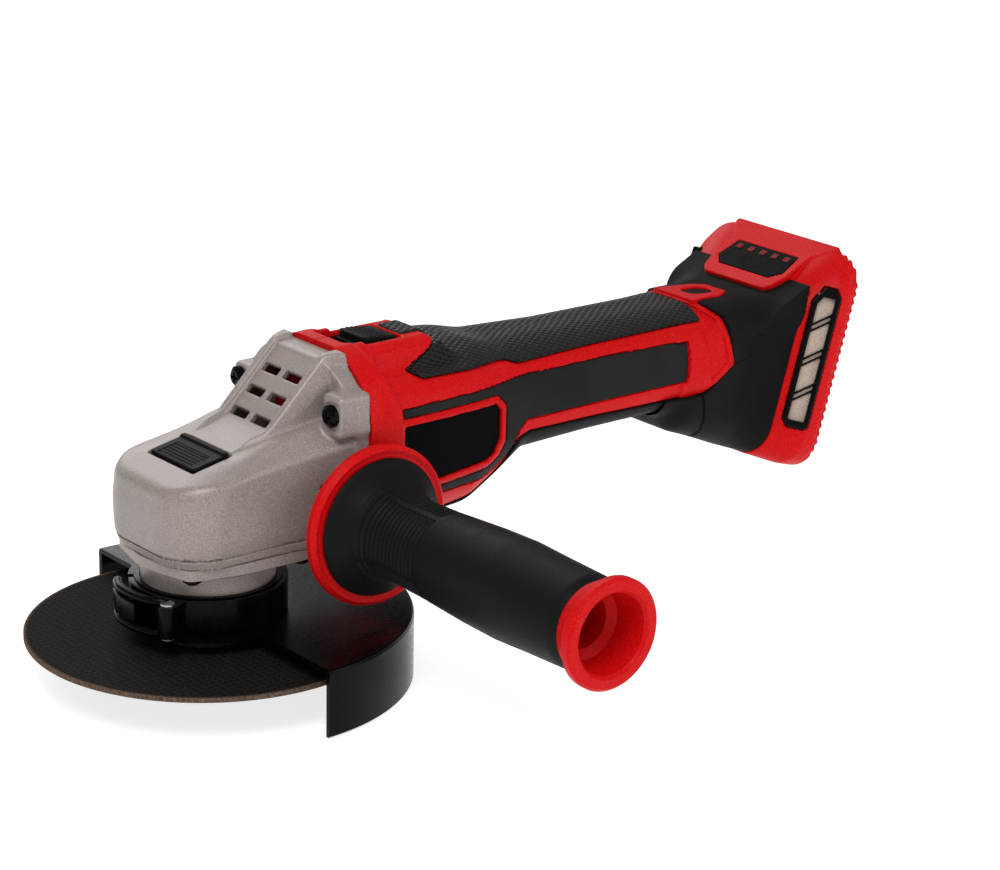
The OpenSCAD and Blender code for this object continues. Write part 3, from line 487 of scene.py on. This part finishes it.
MAT = {
    "cast_grey": paint_cast(),
    "red_plastic": plastic_red(),
    "black_rubber": rubber(),
    "grip_rubber": grip_rubber(),
    "black_plastic": rubber("black_plastic", 0.006, 0.42, 1600, 0.12),
    "gloss_plastic": rubber("gloss_plastic", 0.003, 0.25, 700, 0.05, 0.35),
    "handle_rubber": rubber("handle_rubber", 0.006, 0.5, 1600, 0.15, 0.35),
    "panel_grey": rubber("panel_grey", 0.014, 0.5, 1700, 0.15, 0.3),
    "gloss_black": rubber("gloss_black", 0.002, 0.3, 500, 0.03, 0.08),
    "black_steel": rubber("black_steel", 0.001, 0.2, 700, 0.03, 0.4),
    "steel": metal("steel", (0.55, 0.55, 0.57), 0.28),
    "dark_steel": metal("dark_steel", (0.10, 0.10, 0.105), 0.38),
    "disc_resin": disc_material(),
    "copper": metal("copper", (0.60, 0.22, 0.09), 0.35),
    "gold": metal("gold", (0.78, 0.55, 0.20), 0.25),
    "lamp_red": tinted("lamp_red", (0.16, 0.006, 0.008), 0.25),
    "filter_cloth": cloth(),
    "board_green": tinted("board_green", (0.01, 0.09, 0.03), 0.35),
}
slot_of = {s["node"]: s["material_slot"] for s in frame["record"]["subparts"]}
for node_name, slot_name in slot_of.items():
    o = bpy.data.objects.get(node_name)
    if o is not None and o.type == "MESH":
        if not o.material_slots:
            o.data.materials.append(MAT[slot_name])
        for place in o.material_slots:
            place.material = MAT[slot_name]


# ---------- motor housing and grip ----------
PAD_DEPTH = 3          # how far the pads reach under the housing's outer skin, mm
BX = [44, 62, 78, 93, 106, 117, 150, 196, 214]


def lower_body(x, y, z):
    """Distance to the round part of the housing, under the deck."""
    return section(y, z, smooth_table(BX, [31.5, 32.5, 32, 31, 29.5, 28, 27, 27, 28], x),
                   smooth_table(BX, [30.5, 29.5, 29, 30.2, 37.5, 47, 47.5, 47.5, 47], x),
                   smooth_table([44, 53, 56, 78, 93, 106, 117, 150, 196, 214],
                                [93, 93, 84, 83.6, 84.2, 84.2, 84, 82.7, 82.4, 82.6], x, 3),
                   smooth_table([44, 52, 55, 93, 117, 214], [24, 24, 14, 15, 22, 22], x),
                   smooth_table([44, 62, 84, 106, 117, 214], [24, 24, 22.5, 19, 13, 13], x))


def deck(x, y, z):
    """Raised block on top that carries the switch."""
    wall = (abs(y) - 14.0) * 0.90 + (z - 93) * 0.43
    wall = np.maximum(wall, (abs(y) - 11) * 0.5 + (z - 93) * 0.87)
    rear = (x - 84.5) * 0.8 + (z - 92) * 0.6
    return smax(smax(smax(z - 93, wall, 0.8), rear, 1.0), 70 - z, 0.5)


def body(x, y, z):
    """Distance to the housing's outer skin."""
    return smin(lower_body(x, y, z), deck(x, y, z), 2.5)


# side view outlines, (x, z)
PANEL = [(58.5, 75), (112, 75), (196, 73.7), (192.5, 59.8), (116, 60), (112.5, 57), (109.5, 50),
         (104, 45.2), (96, 42.6), (70, 41), (70, 44.4), (97, 46.6), (102.4, 49.6), (105.4, 55),
         (105.4, 68), (101.6, 71.9), (58.5, 71.9)]
LABEL = [(58.6, 69.2), (99.6, 69.4), (101.8, 67), (101.8, 56.2), (98.8, 51.4), (95.6, 49.9),
         (70, 47.6), (58.6, 47)]
RIM = [(56.6, 71), (100.6, 71.2), (104.2, 68), (104.2, 55.5), (100.4, 49.8), (96.4, 48),
       (70, 45.8), (56.6, 45.4)]
UNDER = [(72, 20), (72, 30.8), (84, 32.4), (94, 36), (103, 41.6), (108.6, 48), (112.8, 54.2),
         (118, 55.4), (190, 53.6), (199, 51.6), (199, 20)]
TOP = [(69, 84), (72, 82.2), (107, 81.6), (112, 80.8), (117, 78.8), (206, 78.8), (207.5, 84),
       (206, 100), (89, 100), (86, 92), (80, 88.4)]
COLLAR_END = [(202, 54), (206.5, 57), (214.5, 63), (215.5, 79), (210, 84.4)]
COLLAR = [(190, 84), (190, 52), *COLLAR_END, (210, 98), (190, 98)]
COLLAR_ROOM = [(150, 100), (150, 55.4), (190, 53.6), *COLLAR_END, (210, 100)]


def tongue(x, y, z):
    """Tongue of the red collar that runs on over the boot, with a small window."""
    plan = poly2(x, abs(y), [(209, -1), (209, 11), (215, 9.8), (225, 9.2), (231, 5.4), (231, -1)])
    top = 84.6 - 0.05 * (x - 209)
    plate = smax(smax(z - top, plan, 0.5), 78 - z, 0.2)
    window = np.maximum(rect(x, y, (221, 0), (6.0, 4.6), 4.0), 81.2 - z)
    return smax(plate, -window, 0.5)


def shell_field(side):
    """Half of the red housing: hoop at the gear head, recesses for the pads, collar at the boot."""
    def f(x, y, z):
        b = body(x, y, z)
        skin = b - 1.3 * (1 - ease(56.6, 58.2, x)) * ease(0, 2, deck(x, y, z) + 1)
        rim = smax(poly2(x, z, RIM), -poly2(x, z, LABEL), 0.4)
        skin = smin(skin, smax(b - 0.8, rim, 0.4), 0.5)
        collar = poly2(x, z, COLLAR)
        skin = smin(skin, smax(b - 1.0, collar, 0.8), 0.8)
        dip = smax(collar + 2.6, np.maximum(204 - x, -(b + 0.1)), 0.5)
        skin = smax(skin, -dip, 0.5)
        for outline, depth in ((TOP, 1.6), (PANEL, 0.9), (LABEL, 0.9), (UNDER, 1.6)):
            skin = smax(skin, -np.maximum(-(b + depth), poly2(x, z, outline) - 0.2), 0.3)
        d = np.maximum(skin, -np.maximum(b + 2.3, x - 215.6))
        d = np.maximum(d, np.maximum(44.15 - x, x - 215.6))
        window = np.maximum(rect(x, y, (62.4, 0), (12.6, 9.2), 2.0), 85 - z)
        d = smax(d, -window, 0.6)
        d = np.maximum(d, -side * y + 0.04)
        return np.maximum(d, -disc2(x, z, HANDLE_AXIS, 10.2))
    return f


def shells():
    for side, name in SIDES:
        lo, hi = (43, -35, 26), (218, 0.8, 96)
        if side > 0:
            lo, hi = (43, -0.8, 26), (218, 35, 96)
        piece(name + "_shell_skin", "housing", "red_plastic", shell_field(side), lo, hi,
              replaces=(name + "_body_shell",))


def pad(name, look, outline, side, high, replaces, lo, hi, edge=0.6):
    """A flush or raised patch on the housing, inside a side view outline."""
    def f(x, y, z):
        b = body(x, y, z)
        d = smax(b - high, poly2(x, z, outline), edge)
        d = np.maximum(d, -(b + PAD_DEPTH))
        return np.maximum(d, side * -y + 8) if side else d
    piece(name, "housing", look, f, lo, hi, replaces=replaces)


def top_grip(x, y, z):
    """Grip along the top: a little higher at its front, with a nose on the deck behind the switch."""
    b = body(x, y, z)
    swell = 3.4 * ease(87, 94, x) * (1 - ease(97, 117, x)) * (1 - ease(6, 26, abs(y)))
    d = smax(smax(b - 1.1 - swell, poly2(x, z, TOP), 1.2), -(b + PAD_DEPTH), 0.2)
    nose = smax(box(x, y, z, (81.5, 0, 90.4), (6, 7, 3.4), 1.0), 0.62 * (x - 85) + 0.78 * (z - 93), 0.8)
    return smin(d, nose, 0.8)


def pads():
    for side, name in SIDES:
        lo, hi = (56, -35, 38), (198, -18, 77)
        if side > 0:
            lo, hi = (56, 18, 38), (198, 35, 77)
        pad(name + "_side_panel", "panel_grey", PANEL, side, -0.15,
            (name + "_side_grip",), lo, hi)
        pad(name + "_name_plate", "gloss_black", LABEL, side, -0.1,
            (name + "_label",), (55, lo[1], 44), (106, hi[1], 72), 0.3)
    pad("under_grip", "black_rubber", UNDER, 0, 0.7, (),
        (70, -35, 24), (202, 35, 57), 0.9)
    piece("top_grip_pad", "housing", "grip_rubber", top_grip,
          (66, -33, 74), (209, 33, 95.5), replaces=("top_grip",))


def slider():
    """Switch slide with cross ribs."""
    def f(x, y, z):
        top = 94.6 - 0.10 * (x - 60)
        ribs = 0.35 * np.cos((x - 60) * 2 * math.pi / 1.9) * ease(61.5, 62.5, x) * (1 - ease(70, 71, x))
        d = smax(z - top + ribs, rect(x, y, (66.5, 0), (7.2, 7.6), 1.6), 0.8)
        d = smax(d, (56.6 - x + 0.45 * (z - 90)) * 0.9, 0.5)
        foot = box(x, y, z, (67, 0, 90.8), (8.4, 8.2, 0.8), 0.3)
        return np.maximum(smin(d, foot, 0.4), 90.1 - z)
    piece("switch_knob", "switch", "black_plastic", f, (55, -10, 89), (78, 10, 97),
          SMALL_CELL, ("switch_slider",))


shells()
piece("collar_tongue", "housing", "red_plastic", tongue,
      (207, -13, 76), (233, 13, 86.5), LOOP_CELL)
pads()
slider()


# ---------- gear head ----------
BOSSES = [(-1, 76.6), (1, 76.6), (-1, 49), (1, 49)]


def head_low(x, y, z):
    """The lower casting: round in front, with a shoulder crease along each side."""
    front = smooth_table([31, 36, 48, 57, 62], [-25.8, -27.5, -27.9, -26.8, -23.2], z, 2)
    hw = smooth_table([31, 40, 56, 66], [26, 27.2, 27.3, 26.6], z, 2) + 4.0 * ease(8, 46, x)
    r = 17
    qx, qy = front - x + r, abs(y) - hw + r
    plan = np.sqrt(np.maximum(qx, 0) ** 2 + np.maximum(qy, 0) ** 2) + np.minimum(np.maximum(qx, qy), 0) - r
    shoulder = smooth_table([-30, -22, 4, 36, 46], [58.2, 59.2, 62.8, 66.5, 67.5], x)
    slope = smooth_table([-24, -6, 15, 46], [0.20, 0.35, 0.8, 0.8], x)
    middle = smooth_table([-31, -24, -14, 1, 14.5, 46], [56, 59.4, 62.6, 65.6, 69.8, 76], x, 3)
    roof = z - smin(shoulder + slope * (hw - abs(y)), middle, 1.5)
    return smax(plan, roof / np.sqrt(1 + slope ** 2), 1.5)


def head_wedge(x, y, z):
    """The steep upper part with the vents between two ridges."""
    steep = smooth_table([-10, 1, 14.5, 37.2, 50], [62.5, 65.4, 69.8, 92.4, 93], x, 2)
    ridge = 1.9 * ease(11.6, 12.8, abs(y)) * ease(0, 9, x)
    wall = -0.364 * (x - 15.6) + 0.858 * (abs(y) - 16.2) + 0.362 * (z - 70.4)
    wall = smax(wall, abs(y) - 15.8 - 0.13 * np.maximum(x - 15, 0), 1.0)
    face = (z - steep - ridge) * (0.72 + 0.28 * ease(36, 40, x))
    arch = section(y, z, 31.5, 30.5, 93, 24, 24)
    wedge = smax(smax(wall, face, 0.9), np.maximum(56 - z, -3 - x), 0.5)
    back = smax(smax(arch, 36.5 - x + 0.10 * (93 - z), 1.2), face, 0.6)
    return smin(wedge, back, 1.2)


def gear_head(x, y, z):
    d = smin(head_low(x, y, z), head_wedge(x, y, z), 1.6)
    for side, high in BOSSES:
        near = side < 0 and high > 60
        out, tall = (26.6, 7.6) if near else (25.6, 5.6)
        lug = box(x, y, z, (39.5, side * out, high), (8, 5.4, tall), 2.4)
        d = smin(d, lug, 2.0)
    d = smin(d, cyl(x, z, y, HANDLE_AXIS, 10, -35.9, 35.9, 0.6), 0.8)
    groove = abs(z - 35.4) - 0.28
    d = smax(d, -np.maximum(groove, -(d + 0.6)), 0.2)
    for side, high in BOSSES:
        pocket = cyl(y, z, x, (side * 27, high + 0.4), 4.7, 20 if high > 60 else 26, 32, 0.3)
        reach = 6 if high > 60 else 3
        open_out = box(x, y, z, (32 - reach, side * 33, high + 0.4), (reach, 6, 4.7), 0.4)
        d = smax(d, -np.minimum(pocket, open_out), 0.6)
    for side in (-1, 1):
        for row in range(3):
            cx, cz = 17.2 + 6.5 * row, 72.6 + 6.5 * row
            along = ((x - cx) + (z - cz)) * 0.7071
            across = (-(x - cx) + (z - cz)) * 0.7071
            slot = np.maximum(rect(along, y, (0, side * 6.1), (1.6, 4.8), 0.8), abs(across) - 8)
            d = smax(d, -slot, 0.35)
    button = np.maximum(rect(x, y, (-6.9, 0), (7.8, 13.9), 0.8), 58.5 - z)
    d = smax(d, -button, 0.4)
    cavity = np.maximum(np.sqrt(x ** 2 + y ** 2) - 22, z - 53)
    hollow = np.maximum(np.sqrt(y ** 2 + (z - 62) ** 2) - 27.5, 39.5 - x)
    duct = np.maximum(np.maximum(head_wedge(x, y, z) + 2.6, 58 - z), 10 - x)
    socket = cyl(x, z, y, HANDLE_AXIS, 4, 15, 40)
    inside = np.minimum(np.minimum(cavity, duct), np.minimum(hollow, socket))
    d = np.maximum(d, -inside)
    return np.maximum(d, np.maximum(32 - z, x - 44))


def lock_button():
    """Ribbed cap of the spindle lock, square to the sloping deck of the gear head."""
    tilt = math.radians(11.4)

    def f(x, y, z):
        s = (x + 7) * math.cos(tilt) + (z - 64.2) * math.sin(tilt)
        n = -(x + 7) * math.sin(tilt) + (z - 64.2) * math.cos(tilt)
        ribbed = (abs(y) < 10) * ease(-7, -6.4, s) * (1 - ease(1.6, 2.2, s))
        ribs = 0.28 * (0.5 + 0.5 * np.cos((s + 5.5) * 2 * math.pi / 1.5)) * ribbed
        lip = 0.7 * ease(4.6, 5.6, s)
        d = smax(n - 0.5 + ribs - lip, rect(s, y, (0, 0), (7.2, 13.2), 1.0), 0.6)
        return np.maximum(d, -n - 1.0)
    piece("lock_cap", "lock", "black_plastic", f, (-17, -15, 57), (3, 15, 68),
          SMALL_CELL, ("lock_button",))


piece("gear_casting", "housing", "cast_grey", gear_head, (-31, -38, 31), (45, 38, 95.5),
      HEAD_CELL, ("gear_housing",))
lock_button()


# ---------- boot, dock frame and hood ----------
TILT = math.radians(16.3)
BACK = [0, 3.6, 8, 17.4, 24, 30, 40, 50, 57]
HOOD_TILT = math.radians(25.7)
FILTER_TURN = math.radians(37)
FILTER = [(-5.1, -24), (-3, -26.6), (3.6, -26.6), (5.1, -25), (5.1, 24.6), (3.2, 27.6),
          (-1.4, 27.6), (-5.1, 21.5)]


def dock_uw(x, z):
    """Outward distance from the dock's face, and height along it."""
    return ((x - 258) * math.cos(TILT) - (z - 58) * math.sin(TILT),
            (x - 258) * math.sin(TILT) + (z - 58) * math.cos(TILT))


def boot_field(x, y, z):
    """Rubber boot between the grip and the dock, with an ear on each side of the hood."""
    u, w = dock_uw(x, z)
    b = -u + smooth_table([-60, -56, -50, -40], [0.25, 0.24, 0.12, 0], u) * w
    hw = smooth_table([14, 17.4, 24, 30, 40, 50, 57], [33.2, 31, 27.2, 26.6, 28, 28.6, 28.2], b, 3)
    low = smooth_table([14, 17.4, 24, 30, 40, 50, 57], [-41.4, -41, -40.8, -40.3, -39, -37, -32.6], b, 3)
    high = smooth_table([14, 17.4, 24, 30, 40, 50, 57], [26, 23, 18.4, 16.6, 14.4, 12.4, 10], b, 3)
    up = smooth_table([14, 24, 40, 57], [8, 10, 17, 20], b)
    d = section(y, w, hw, low, high, up, 13)
    hollow = np.sqrt((x - 215) ** 2 / 9 + (z - 69) ** 2) - 6
    d = smax(d, -smax(hollow, -(d + 0.7), 0.5), 0.6)
    ear = section(y, w, 31.6, 4, 38, 9, 14)
    ear = smax(ear, 0.876 * (-u - 17.8 - 0.55 * (33.8 - w)), 1.5)
    d = smin(d, smax(ear, hood_sn(x, z)[1] + 1.8, 0.8), 4.0)
    d = smax(d, u + 16.4, 0.4)
    d = smax(d, -(poly2(x, z, COLLAR_ROOM) - 0.2), 0.3)
    crease = (w + 34) * 0.5 + u + 48
    d = smax(d, -np.maximum(abs(crease) - 0.5, -(d + 0.7)), 0.15)
    return np.maximum(d, -np.maximum(d + 2.2, b - 52))


def frame_field(x, y, z):
    """Red dock frame: toothed outer edge, hood with a recess for the display, holes for the filters."""
    u, w = dock_uw(x, z)
    b = -u
    hw = smooth_table(BACK, [40, 40, 39.6, 31.2, 28, 28, 28, 28, 28], b, 1.2)
    low = smooth_table(BACK, [-42, -42, -42, -41.2, -41, -41, -41, -41, -41], b, 1.2)
    high = smooth_table(BACK, [40.8, 40.4, 36.4, 24.4, 18, 16, 15, 15, 15], b, 1.2)
    corner = smooth_table([0, 8, 17.4, 30], [13, 15, 10, 10], b)
    outer = section(y, w, hw, low, high, corner, 12.5)
    teeth = 0.5 + 0.5 * np.cos(np.where(w > 31, y, w) * 2 * math.pi / 3.2)
    outer = outer + 0.75 * teeth * ease(-2.6, -1.4, u) * ease(-38, -34, w)
    hs, hn = hood_sn(x, z)
    plate = poly2(hs, abs(y), [(0, -1), (0, 15.6), (2.6, 18.4), (9, 20.4), (22.6, 20.8), (29.8, 27.5),
                               (32, 27.5), (32, -1)])
    hood = smax(smax(hn - 0.1, plate, 0.5), -hn - 3.4, 0.4)
    inner = section(y, w, hw - 4.3, low + 4.3, high - 4.4, np.maximum(corner - 4, 6), 9)
    wall = np.maximum(smax(outer - 0.2, -u - 17.3, 0.3), -inner)
    d = smax(smin(wall, hood, 0.5), u, 0.4)
    window = poly2(hs, abs(y), [(5.9, -1), (5.9, 13.3), (10.4, 17.7), (20.5, 16.3), (20.5, -1)])
    d = smax(d, -smax(window, -(hn + 1.35), 0.2), 0.25)
    for s in (-1, 1):
        fx, fy = at_filter(u, y, s)
        out = poly2(fx, w, FILTER)
        hole = np.minimum(np.maximum(out - 0.2, -fy - 2.2), out + 2.4)
        d = smax(d, -np.maximum(hole, abs(fy) - 6), 0.3)
    return d


def turned(u, v, a):
    """u and v in axes turned by the angle a."""
    return u * math.cos(a) + v * math.sin(a), -u * math.sin(a) + v * math.cos(a)


def hood_sn(x, z):
    """Along the hood's sloping face from its front edge, and out of it."""
    return turned(x - 239.4, z - 85.6, HOOD_TILT)


def at_filter(u, y, side):
    """Along and out of the slanted side that holds the filter."""
    return turned(u + 10.6, side * y - 35.6, FILTER_TURN)


def filter_piece(side, name):
    """Black surround of a dust filter with three pairs of slanted bars."""
    def f(x, y, z):
        u, w = dock_uw(x, z)
        fx, fy = at_filter(u, y, side)
        out = poly2(fx, w, FILTER)
        opening = np.maximum(out + 1.9, abs(w) - 23.8)
        d = smax(smax(out, -opening, 0.3), abs(fy - 0.4) - 2.2, 0.8)
        for k in (-1, 0, 1):
            line = (w - 0.6 - 13.4 * k - 0.8 * fx) * 0.78
            bar = np.maximum(np.maximum(abs(abs(line) - 0.95) - 0.36, out + 1), abs(fy - 0.5) - 0.9)
            d = smin(d, bar, 0.3)
        return d
    lo, hi = (229, 29, 28), (270, 43, 92)
    if side < 0:
        lo, hi = (229, -43, 28), (270, -29, 92)
    piece(name + "_filter_surround", "housing", "gloss_plastic", f, lo, hi,
          FILTER_CELL, (name + "_filter_frame",))


piece("boot_skin", "housing", "black_rubber", boot_field, (182, -38, 14), (252, 38, 96),
      replaces=("rear_boot",))
piece("dock_skin", "housing", "red_plastic", frame_field, (228, -42, 12), (274, 42, 101),
      DOCK_CELL, ("dock_frame",))
for side, name in SIDES:
    filter_piece(side, name)


# ---------- side handle ----------
def handle_grip():
    """Rubber over the handle: a swelling grip with four blocks of ring grooves and a slit."""
    t0, end = 7.7, 116
    along = [t0 + k for k in (0, 1.2, 2.6, 6, 11, 18, 34, 56, 72, 86)] + [113, 115, end]
    radii = [24.2, 23.8, 21.5, 18, 15.7, 14.9, 15.3, 16.5, 16.9, 16.3, 15.7, 15, 14.4]
    cx, cz = HANDLE_AXIS

    def f(x, y, z):
        t = -36 - y
        r = np.sqrt((x - cx) ** 2 + (z - cz) ** 2)
        angle = np.degrees(np.arctan2(z - cz, x - cx))
        swell = smooth_table(along, radii, t, 1.2)
        lean = 1 + 1.2 * (1 - ease(t0, t0 + 12, t))
        block = ease(-41, -39.5, -abs((angle - 152 + 45) % 90 - 45))
        grooves = 0.5 + 0.5 * np.cos((t - 16.5) * 2 * math.pi / 2.1)
        area = ease(15.4, 15.5, t) * (1 - ease(44.9, 45, t))
        d = (r - swell) / lean + 0.6 * block * grooves * area
        slit = np.maximum(abs(angle + 128) * 0.29 - 0.55, abs(t - 71) - 26)
        d = smax(d, -np.maximum(slit, -(d + 0.8)), 0.2)
        return np.maximum(np.maximum(d, 12.6 - r), np.maximum(t0 - t, t - end))
    piece("handle_overmould", "housing", "handle_rubber", f, (13, -154, 14), (67, -42, 68),
          HANDLE_CELL, ("handle_grip",))


handle_grip()


# ---------- clamp lever ----------
def clamp_loop():
    """Wire loop of the guard's clamp, bent around the neck, with its plate and hinge."""
    radius, mid, hinge_at = 32.0, 14.6, (-27.5, -17)

    def f(x, y, z):
        r = np.sqrt(x ** 2 + y ** 2)
        s = (np.degrees(np.arctan2(-y, -x)) - 3) * math.radians(1) * radius
        out = radius - 1.8 * ease(8, 17, s) - 1.2 * ease(-6, -16, s)
        path = abs(rect(s, z, (0, mid), (16, 5.6), 3.2))
        loop = np.sqrt(path ** 2 + (r - out) ** 2) - 1.55
        plate = smax(rect(s, z, (-5, mid), (8.4, 3.6), 1.0), abs(r - out + 0.2) - 1.7, 0.5)
        hinge = smax(disc2(x, y, hinge_at, 3.2), abs(z - mid) - 5.0, 0.6)
        d = smin(smin(loop, plate, 0.8), hinge, 0.8)
        return np.maximum(np.maximum(d, 27.7 - r), -disc2(x, y, hinge_at, 1.6))
    piece("clamp_loop", "clamp_lever_body", "black_steel", f, (-36, -30, 5), (-12, 22, 24),
          LOOP_CELL, ("clamp_lever",))


clamp_loop()


# ---------- camera, floor and light ----------
def camera():
    """Camera at the photograph's angle, roll and distance from the disc's centre."""
    a, e, r = math.radians(-39.43), math.radians(18.43), math.radians(1.29)
    back = Vector((math.sin(a) * math.cos(e), -math.cos(a) * math.cos(e), math.sin(e)))
    right = Vector((math.cos(a), math.sin(a), 0))
    up = back.cross(right)
    c, s = math.cos(r), math.sin(r)
    right, up = c * right + s * up, -s * right + c * up
    cam = bpy.data.objects.new("camera", bpy.data.cameras.new("camera"))
    bpy.context.scene.collection.objects.link(cam)
    cam.data.sensor_width = 36
    cam.data.lens = 108.25
    cam.data.shift_x = 0.005
    place = P(0, 0, 0) - (right * -97.6 + up * -65.6 + back * -1025) * MM
    cam.matrix_world = Matrix.Translation(place) @ Matrix((right, up, back)).transposed().to_4x4()
    cam.data.clip_start, cam.data.clip_end = 0.01, 20
    bpy.context.scene.camera = cam


camera()


def stage():
    """Pale floor under the part, and an even white sky."""
    low = cad_box[0].z - 0.0005
    s = 6
    mesh = bpy.data.meshes.new("floor")
    mesh.from_pydata([(-s, -s, low), (s, -s, low), (s, s, low), (-s, s, low)], [], [(0, 1, 2, 3)])
    floor = bpy.data.objects.new("floor", mesh)
    bpy.context.scene.collection.objects.link(floor)
    m = bpy.data.materials.new("floor")
    m.use_nodes = True
    b = m.node_tree.nodes["Principled BSDF"]
    b.inputs["Base Color"].default_value = (0.55, 0.55, 0.55, 1)
    b.inputs["Roughness"].default_value = 0.9
    b.inputs["Specular IOR Level"].default_value = 0.0
    b.inputs["Emission Color"].default_value = (1, 1, 1, 1)
    b.inputs["Emission Strength"].default_value = 0.78
    mesh.materials.append(m)
    world = bpy.data.worlds.new("world")
    bpy.context.scene.world = world
    world.use_nodes = True
    world.node_tree.nodes["Background"].inputs["Color"].default_value = (1, 1, 1, 1)
    world.node_tree.nodes["Background"].inputs["Strength"].default_value = 0.40


stage()


def area(name, place, target, size, watts):
    """Square lamp at a place, turned to a target."""
    lamp = bpy.data.lights.new(name, "AREA")
    lamp.energy, lamp.size = watts, size
    o = bpy.data.objects.new(name, lamp)
    bpy.context.scene.collection.objects.link(o)
    o.location = place
    o.rotation_mode = "QUATERNION"
    o.rotation_quaternion = (Vector(target) - Vector(place)).to_track_quat("-Z", "Y")


area("key", (-0.5, -0.5, 1.1), (0.08, 0, 0.05), 0.6, 9)
area("fill", (0.7, -1.0, 0.6), (0.1, 0, 0.05), 0.9, 3.5)
area("rim", (0.3, 1.0, 0.7), (0.1, 0, 0.05), 0.8, 5)
bpy.context.scene.view_settings.view_transform = "Standard"
